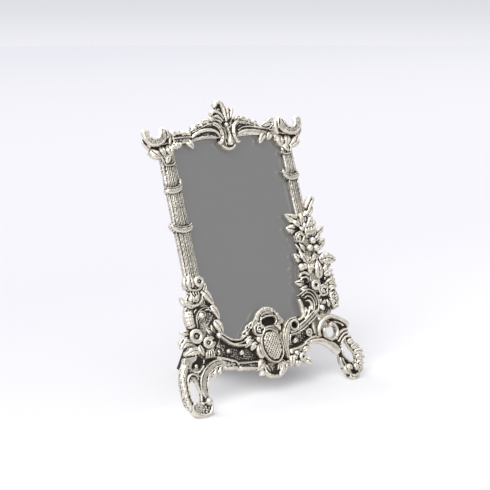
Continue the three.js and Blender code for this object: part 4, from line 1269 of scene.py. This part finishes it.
def right_foot():
    """Volute with a pierced eye over a broad arch band; ribs and a fringed leaf wrap the foot's opening."""
    eye = []
    for a in np.linspace(2.5, 7.6, 26):
        eye.append((60.4 + 6.7 * math.cos(a), 42.3 + 6.7 * math.sin(a), 1.6, 0.9))
    bands = [
        [(50, 39.2, 1.4, -0.8), (49.4, 44.6, 1.9, 0), (51.8, 49.8, 2.1, 0.6), (57, 53.2, 2.2, 0.8),
            (63.6, 54, 2.2, 0.8), (70.2, 51.6, 2.1, 0.6), (75.8, 48.4, 2.1, 0.4), (79.2, 45.2, 1.9, 0.2),
            (79.4, 42.4, 1.4, -0.4)],
        eye + [(60, 47.6, 1.3, 0.8), (59.2, 45.8, 1.1, 0.4)],
        [(63, 49.8, 0.9, -1.4), (68, 48.8, 1.1, -1), (72.6, 46.4, 1.1, -0.8), (75.8, 44, 0.9, -1.2)],
        [(63.8, 34.4, 1.3, -0.2), (67.4, 38.2, 1.5, 0.2), (72, 40.6, 1.5, 0.4), (78, 41.4, 1.2, -0.2)],
        [(65.6, 32, 1.1, -0.2), (69, 35.6, 1.2, 0.2), (73.6, 38.2, 1.3, 0.4), (79.4, 38.4, 1.2, -0.2)],
        [(67.6, 29.4, 1, -0.2), (70.2, 32.8, 1.2, 0.4), (74.6, 35.2, 1.3, 0.4), (80.4, 34.4, 1.3, 0)],
        [(68.2, 28, 0.9, -0.2), (67.8, 23.4, 1, 0.1), (69.4, 18.6, 1, 0.2), (72.4, 15.2, 1, 0.2),
            (76.4, 12.8, 1, 0)],
        [(64.4, 20.4, 1, -0.8), (64.6, 15.4, 1.2, -0.2), (66, 11, 1.1, -0.4)],
        [(66.8, 19.4, 0.8, -0.8), (67.2, 15.2, 1, -0.2), (69.2, 11.8, 0.9, -0.6)],
    ]
    shapes = scrolls(bands, -4.8)
    arch = [(38.8, 37.2, 2, -1.2), (45, 36.8, 2.4, -0.6), (51.2, 35.2, 2.9, -0.1), (57.2, 31.8, 3.6, 0.2),
        (62, 27.2, 4.1, 0.2), (65.2, 23, 3.4, -0.4)]
    shapes.append(scroll(arch, -3.4))
    for outline, front in (
        ([(66.4, 46), (68.4, 41), (67.2, 36), (70, 33), (80, 37), (80, 44), (74, 49), (62, 52.4),
            (58, 51.4), (62, 49)], -3.6),
        ([(40, 39.4), (48, 38.8), (56, 36), (62, 32.4), (66.5, 28.2), (68.6, 33), (67, 37), (62, 35),
            (57, 36), (53.6, 39), (52, 44), (49, 43)], -3.2),
        ([(64.2, 21), (66, 28.6), (68.6, 29), (68.4, 24), (70, 18.6), (76, 13.2), (79, 9), (80, 4),
            (68, 3), (65, 12)], -3),
        ([(74, 34), (73.6, 30.4), (76, 26), (79.8, 20.2), (80.4, 16), (78.8, 13), (79.4, 6), (83.4, 6.6),
            (86.2, 12), (87.2, 20), (87.2, 24.4), (83, 26), (81.6, 30), (80.6, 34)], -1.8),
    ):
        shapes.append(slab(outline, -5.2, front, smooth=False))
    shapes.append(ball(60.6, 47.4, 0.2, 1.7))
    for u, v, length, width in (
        (75, 30.4, 6.4, 2.4), (77.4, 26, 8.8, 2.7), (79.8, 21.2, 9.2, 2.8), (80.2, 16.2, 8.8, 2.7),
        (79.4, 11.6, 7.8, 2.6), (78, 7.6, 6, 2.2),
    ):
        shapes.append(sprig((u, v), (u + length, v - 1.2), width, 1, 0.8, 0.8, -0.6, 4.4, 0.1))
    for spine, width in (
        ([(67.4, 12.4, -0.6), (68.4, 8.2, 0.8), (71.4, 4.4, 0.6)], 2.4),
        ([(69.8, 3.8, 0.2), (73.6, 1.4, 1.4), (79, 2.8, 0.8)], 2.7),
        ([(69.6, 12.8, 0), (71.6, 10.4, 1.2), (73.4, 8, 0.4)], 1.9),
        ([(77.6, 12.2, 0.2), (77.8, 9.2, 1.5), (77, 6.2, 0.6)], 2.4),
        ([(79.4, 4.6, -0.2), (82.4, 6.2, 0.4), (84.4, 9.4, 0)], 1.7),
    ):
        shapes.append(leaf(spine, width, 1, cup=1, thick=4.4, notch=0))
    return [within_plane(s) for s in shapes]


def spray():
    """Bouquet up the right pillar: buds, tulips, berries, roses and leaves piled on each other."""
    ground = [
        (50, 60), (43, 76), (43, 90), (45, 100), (46, 112), (46, 124), (47, 134), (54, 139), (61, 138),
        (65, 128), (66, 112), (71, 100), (74.6, 91), (75, 80), (73, 62), (60, 57),
    ]
    shapes = [slab(ground, -6.4, -4.6), slab([(51.6, 56.6), (51.6, 72), (64, 73), (66, 57)], -6.4, -2.6)]
    for k in (-1, 1):
        shapes.append(scroll([(62.6 + k, 143.8 - k, 1.6, -0.6),
            (66.6 + 1.2 * k, 149.4 - 1.2 * k, 2.2, 1.2), (71 + 0.7 * k, 154.2 - 0.7 * k, 1.9, 0.6)], -3.4))
    leaves = [
        ((60.6, 137.6), (70, 145.4), 2.2, 1, 0.4), ((59.6, 135), (63.6, 145), 2, 1, 0.3),
        ((62, 133), (67, 138), 1.7, 1, 0.3), ((55.4, 134.6), (40.8, 142.8), 3.6, 1, 0.6),
        ((53.6, 131.2), (45.8, 137), 2, 1, 0.4), ((51, 128.6), (39.4, 131.4), 4, 1, 0.3),
        ((54.2, 125.6), (52, 131), 1.5, 1, -0.4), ((53, 130.6), (52.4, 139.6), 1.7, 1, 0.2),
        ((55.4, 131), (55.6, 142), 1.9, 2, 0.2), ((57.8, 131.4), (59.6, 140.6), 1.8, 2, 0.2),
        ((60, 128.6), (64.4, 135.6), 2, 2, 0.3), ((62.4, 126), (67.8, 132.4), 2, 2, 0.3),
        ((64.6, 122.4), (76.6, 128.6), 2.5, 2, -0.6), ((63.8, 111.2), (76, 118.4), 3.3, 1, -0.6),
        ((65, 117.4), (71, 122), 1.8, 1, 0.4), ((50, 100.4), (41.6, 110), 3.2, 1, 0.6),
        ((52.4, 100.6), (47, 111), 2.3, 1, 0.5), ((51, 108.6), (45.4, 117.6), 1.3, 1, 0.3),
        ((53, 109.6), (48.2, 117.8), 1.3, 1, 0.3), ((54.4, 112.6), (51, 118.2), 1.2, 1, 0.2),
        ((53.4, 101.2), (52.8, 107.6), 1.6, 1, 0.5), ((55.4, 101.2), (58.2, 107), 1.6, 1, -0.4),
        ((58, 101.6), (61.4, 108.6), 1.5, 1, -0.3), ((60.8, 102), (65, 107.2), 1.6, 2, -0.3),
        ((53.2, 91), (52.8, 99.8), 1.7, 1, 0.3), ((56.2, 91), (56.8, 99.6), 1.7, 1, -0.3),
        ((61.4, 86.2), (62.6, 101.4), 3.5, 1, 0), ((64.8, 89), (66.4, 98.2), 1.5, 1, -0.2),
        ((67.2, 90.2), (69.8, 97.8), 1.5, 1, -0.2), ((68.8, 90.6), (73.2, 96), 1.6, 1, -0.2),
        ((66.6, 88), (76.6, 91.4), 2.2, 1, 0.4), ((66.8, 84.6), (77.2, 87.4), 2.2, 1, 0.3),
        ((67, 81.4), (76.8, 83.4), 2.1, 1, 0.3), ((48, 84.6), (36.8, 86.6), 3.2, 1, 0.4),
        ((48.4, 80.6), (39.6, 80.2), 2.4, 1, 0.3), ((51.2, 88.8), (46.8, 84.8), 1.5, 1, 0.3),
        ((55.4, 74.6), (54.4, 69.8), 1.6, 1, 0.3), ((65.2, 70), (64.6, 61), 1.5, 2, 0.3),
        ((56.4, 71.6), (55, 66.2), 1.7, 1, 0.3), ((60, 69.8), (61, 64), 1.6, 1, 0.3),
        ((55.2, 64.4), (58.8, 60), 1.7, 1, 0.3), ((57.8, 68.6), (57.6, 64), 1.2, 1, 0.3),
        ((65, 101), (81.6, 98.6), 4.8, 5, 1.8), ((66, 99), (76.6, 94.8), 2.6, 2, 0.8),
        ((67, 79.6), (76.8, 77), 3.4, 1, 0.8),
    ]
    for k, (start, tip, width, lobes, bend) in enumerate(leaves):
        sink = 1.3 * (k % 2)
        shapes.append(sprig(start, tip, 1.12 * width, lobes, bend, 0.5 - sink, -1.4 - sink))
    for u, v, lean in ((56.8, 120.6, 0.2), (59.2, 120.4, 0.6), (61.6, 120.6, 1.2), (64, 121.4, 1.8)):
        shapes.append(sprig((u, v), (u + lean * 1.6, v + 9.6), 1.45, 1, 0.2, 1, -0.6, 3.4, 0))
        shapes.append(sprig((u + lean, v + 7), (u + lean * 2.6, v + 13.6), 1.4, 1, 0.2, 0.4, -1.2, 3, 0))
    cupped = [
        [(40.6, 89.6, 1.3, 0.4), (42.6, 92.4, 1.5, 1), (47, 92.8, 1.5, 1), (51, 90.2, 1.3, 0.4)],
        [(40.4, 86.6, 1, 0.2), (43.4, 89.2, 1.2, 0.8), (47.6, 88.8, 1.1, 0.6), (49.8, 86.4, 0.9, 0.2)],
    ]
    shapes += scrolls(cupped, -3.4)
    shapes += bloom(48.4, 122.2, -0.4, 4.8)
    shapes += bloom(60.6, 76, -0.4, 4.9, 0.4)
    shapes += berries([(60.8, 117.8), (56.4, 112.2), (63, 111.2)], -0.2, 3.1)
    shapes += [ball(44.2, 97.8, -0.6, 3.3), ball(48, 98, -0.8, 2.7)]
    shapes += ring_flower(53.8, 81.4, -0.8, 4.5, 1.65)
    shapes += volute(65, 80.6, base=-3.4, radius=2.9, turns=1, start=200, half=0.8, top=0.6)
    return shapes


def acorn():
    """Knobbly seed head low on the right."""
    return [sprig((71, 76.6), (70.4, 59), 4.7, 1, 0.4, 0.7, -1.4, 4.2, 0)]


def acorn_scales():
    """Crescent scales across the seed head."""
    shapes = []
    for k, half in enumerate((3.4, 3.2, 4.4, 2.8, 3)):
        u, v = 70.8 + 0.8 * (-1) ** k, 76 - 3.4 * k
        rows = [(u - half, v - 1.4, 0.6, -0.8), (u, v, 1, 1), (u + half, v - 2.4, 0.6, -1)]
        shapes.append(scroll(rows, -4))
    return shapes


def ribbed_c():
    """C-shaped shell beside the bouquet: a broad arched band, a bright crescent and a folded edge."""
    edge = [(37.6, 56.6, 1.8, 0), (37.2, 62, 2.1, 0.6), (36.8, 68, 2.1, 0.8), (35.6, 73.2, 1.8, 0.6)]
    arched = [(38.6, 73.8, 1.8, -1.2), (42.6, 76.2, 2.6, -0.8), (47, 75.4, 2.9, -0.8),
        (50.4, 70.6, 2.9, -0.8), (50.6, 64.4, 2.6, -0.8), (47.8, 59, 1.8, -1.2)]
    bands = [
        [(34.8, 75.6, 0.7, 0), (38.6, 76.8, 0.8, 0.7), (43.6, 79.2, 0.9, 1), (49, 78, 0.9, 1),
            (53, 72.6, 0.9, 1), (53.6, 65.4, 0.9, 0.8), (51.6, 59.6, 0.8, 0)],
        [(38.8, 74.6, 0.7, 0.2), (43, 76.8, 0.9, 0.9), (47.8, 75.6, 0.9, 1), (51, 70.6, 0.9, 1),
            (51.4, 64.6, 0.8, 0.6)],
        [(40.6, 72.6, 0.7, 0.2), (44.4, 74, 0.9, 0.9), (48.2, 71, 0.9, 1), (49.2, 65.6, 0.8, 0.6),
            (47.4, 60.8, 0.7, 0)],
        [(42, 70.4, 0.8, -0.2), (45, 70, 1.3, 0.8), (46.8, 66.2, 1.5, 1), (45.6, 61.6, 1.2, 0.6)],
        [(40.6, 65.6, 0.9, -1.2), (41.8, 62.6, 1.1, -0.6), (42.2, 59, 1, -0.6)],
    ]
    ground = slab([(36, 56), (36.4, 73), (44, 77), (51, 71), (49, 58)], -4.6, -2.1)
    shapes = [ground, scroll(edge, -4.2), scroll(arched, -4.2, flat_profile)]
    return shapes + scrolls(bands, -4.2)


cast("ornate_crest", "crest_rail", crest(), material=crest_silver)
cast("curled_finial", "shell_finial", finial(), material=crest_silver)
cast("left_horn", "left_corner_scroll", horn(-1), material=crest_silver)
cast("right_horn", "right_corner_scroll", horn(1), material=crest_silver)
cast("left_cane_pillar", "left_pillar", mirrored(shaft(LEFT_COLLARS)), voxel=0.3, texture=cane_face,
    material=cane_silver)
cast("right_cane_pillar", "right_pillar", shaft(RIGHT_COLLARS, 52.3, 62.6), voxel=0.3, texture=cane_face,
    material=cane_silver)
cast("jointed_base", "base_rail", base(), pebbled=base_ground())
cast("scallop_shell", "base_shell", scallop())
cast("lattice_medallion", "cartouche", medallion(), voxel=0.25)
cast("ribbed_drop", "base_drop", drop())
cast("eyed_acanthus", "acanthus_scroll", acanthus())
cast("left_flowers", "leaf_cluster", cluster(), pebbled=cluster_ground())
bunch = spray() + acorn_scales() + ribbed_c()
cast("bouquet", "flower_spray", bunch, voxel=0.38, pebbled=acorn(), material=bouquet_silver)
cast("left_scroll_foot", "left_foot_scroll", left_foot(), pebbled=foot_band())
cast("right_scroll_foot", "right_foot_scroll", right_foot())


# ---- CAD nodes that keep their own shape ----
def finish_node(name, material, bevel=0.15):
    """Gives a CAD node its material and a softened edge."""
    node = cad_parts[name]
    node.data.materials.clear()
    node.data.materials.append(material)
    if bevel:
        edge = node.modifiers.new("edge", "BEVEL")
        edge.width = bevel * MM
        edge.segments = 2
        edge.limit_method = "ANGLE"
        edge.angle_limit = math.radians(35)


for side in ("left", "right", "top", "bottom"):
    finish_node(side + "_tray_rail", silver)
finish_node("mirror_glass", glass_metal, 0)
finish_node("packing_card", board, 0)
finish_node("back_panel", pile_cloth, 0.8)
finish_node("strut_board", pile_cloth, 0.8)
steel_nodes = ["hinge_back_leaf", "hinge_strut_leaf", "hinge_pin"]
steel_nodes += [f"{leaf_name}_rivet_{k}" for leaf_name in ("back_leaf", "strut_leaf") for k in (1, 2)]
steel_nodes += [f"turn_button_{k}" for k in range(1, 5)] + [f"button_screw_{k}" for k in range(1, 5)]
for name in steel_nodes:
    finish_node(name, steel, 0.08)
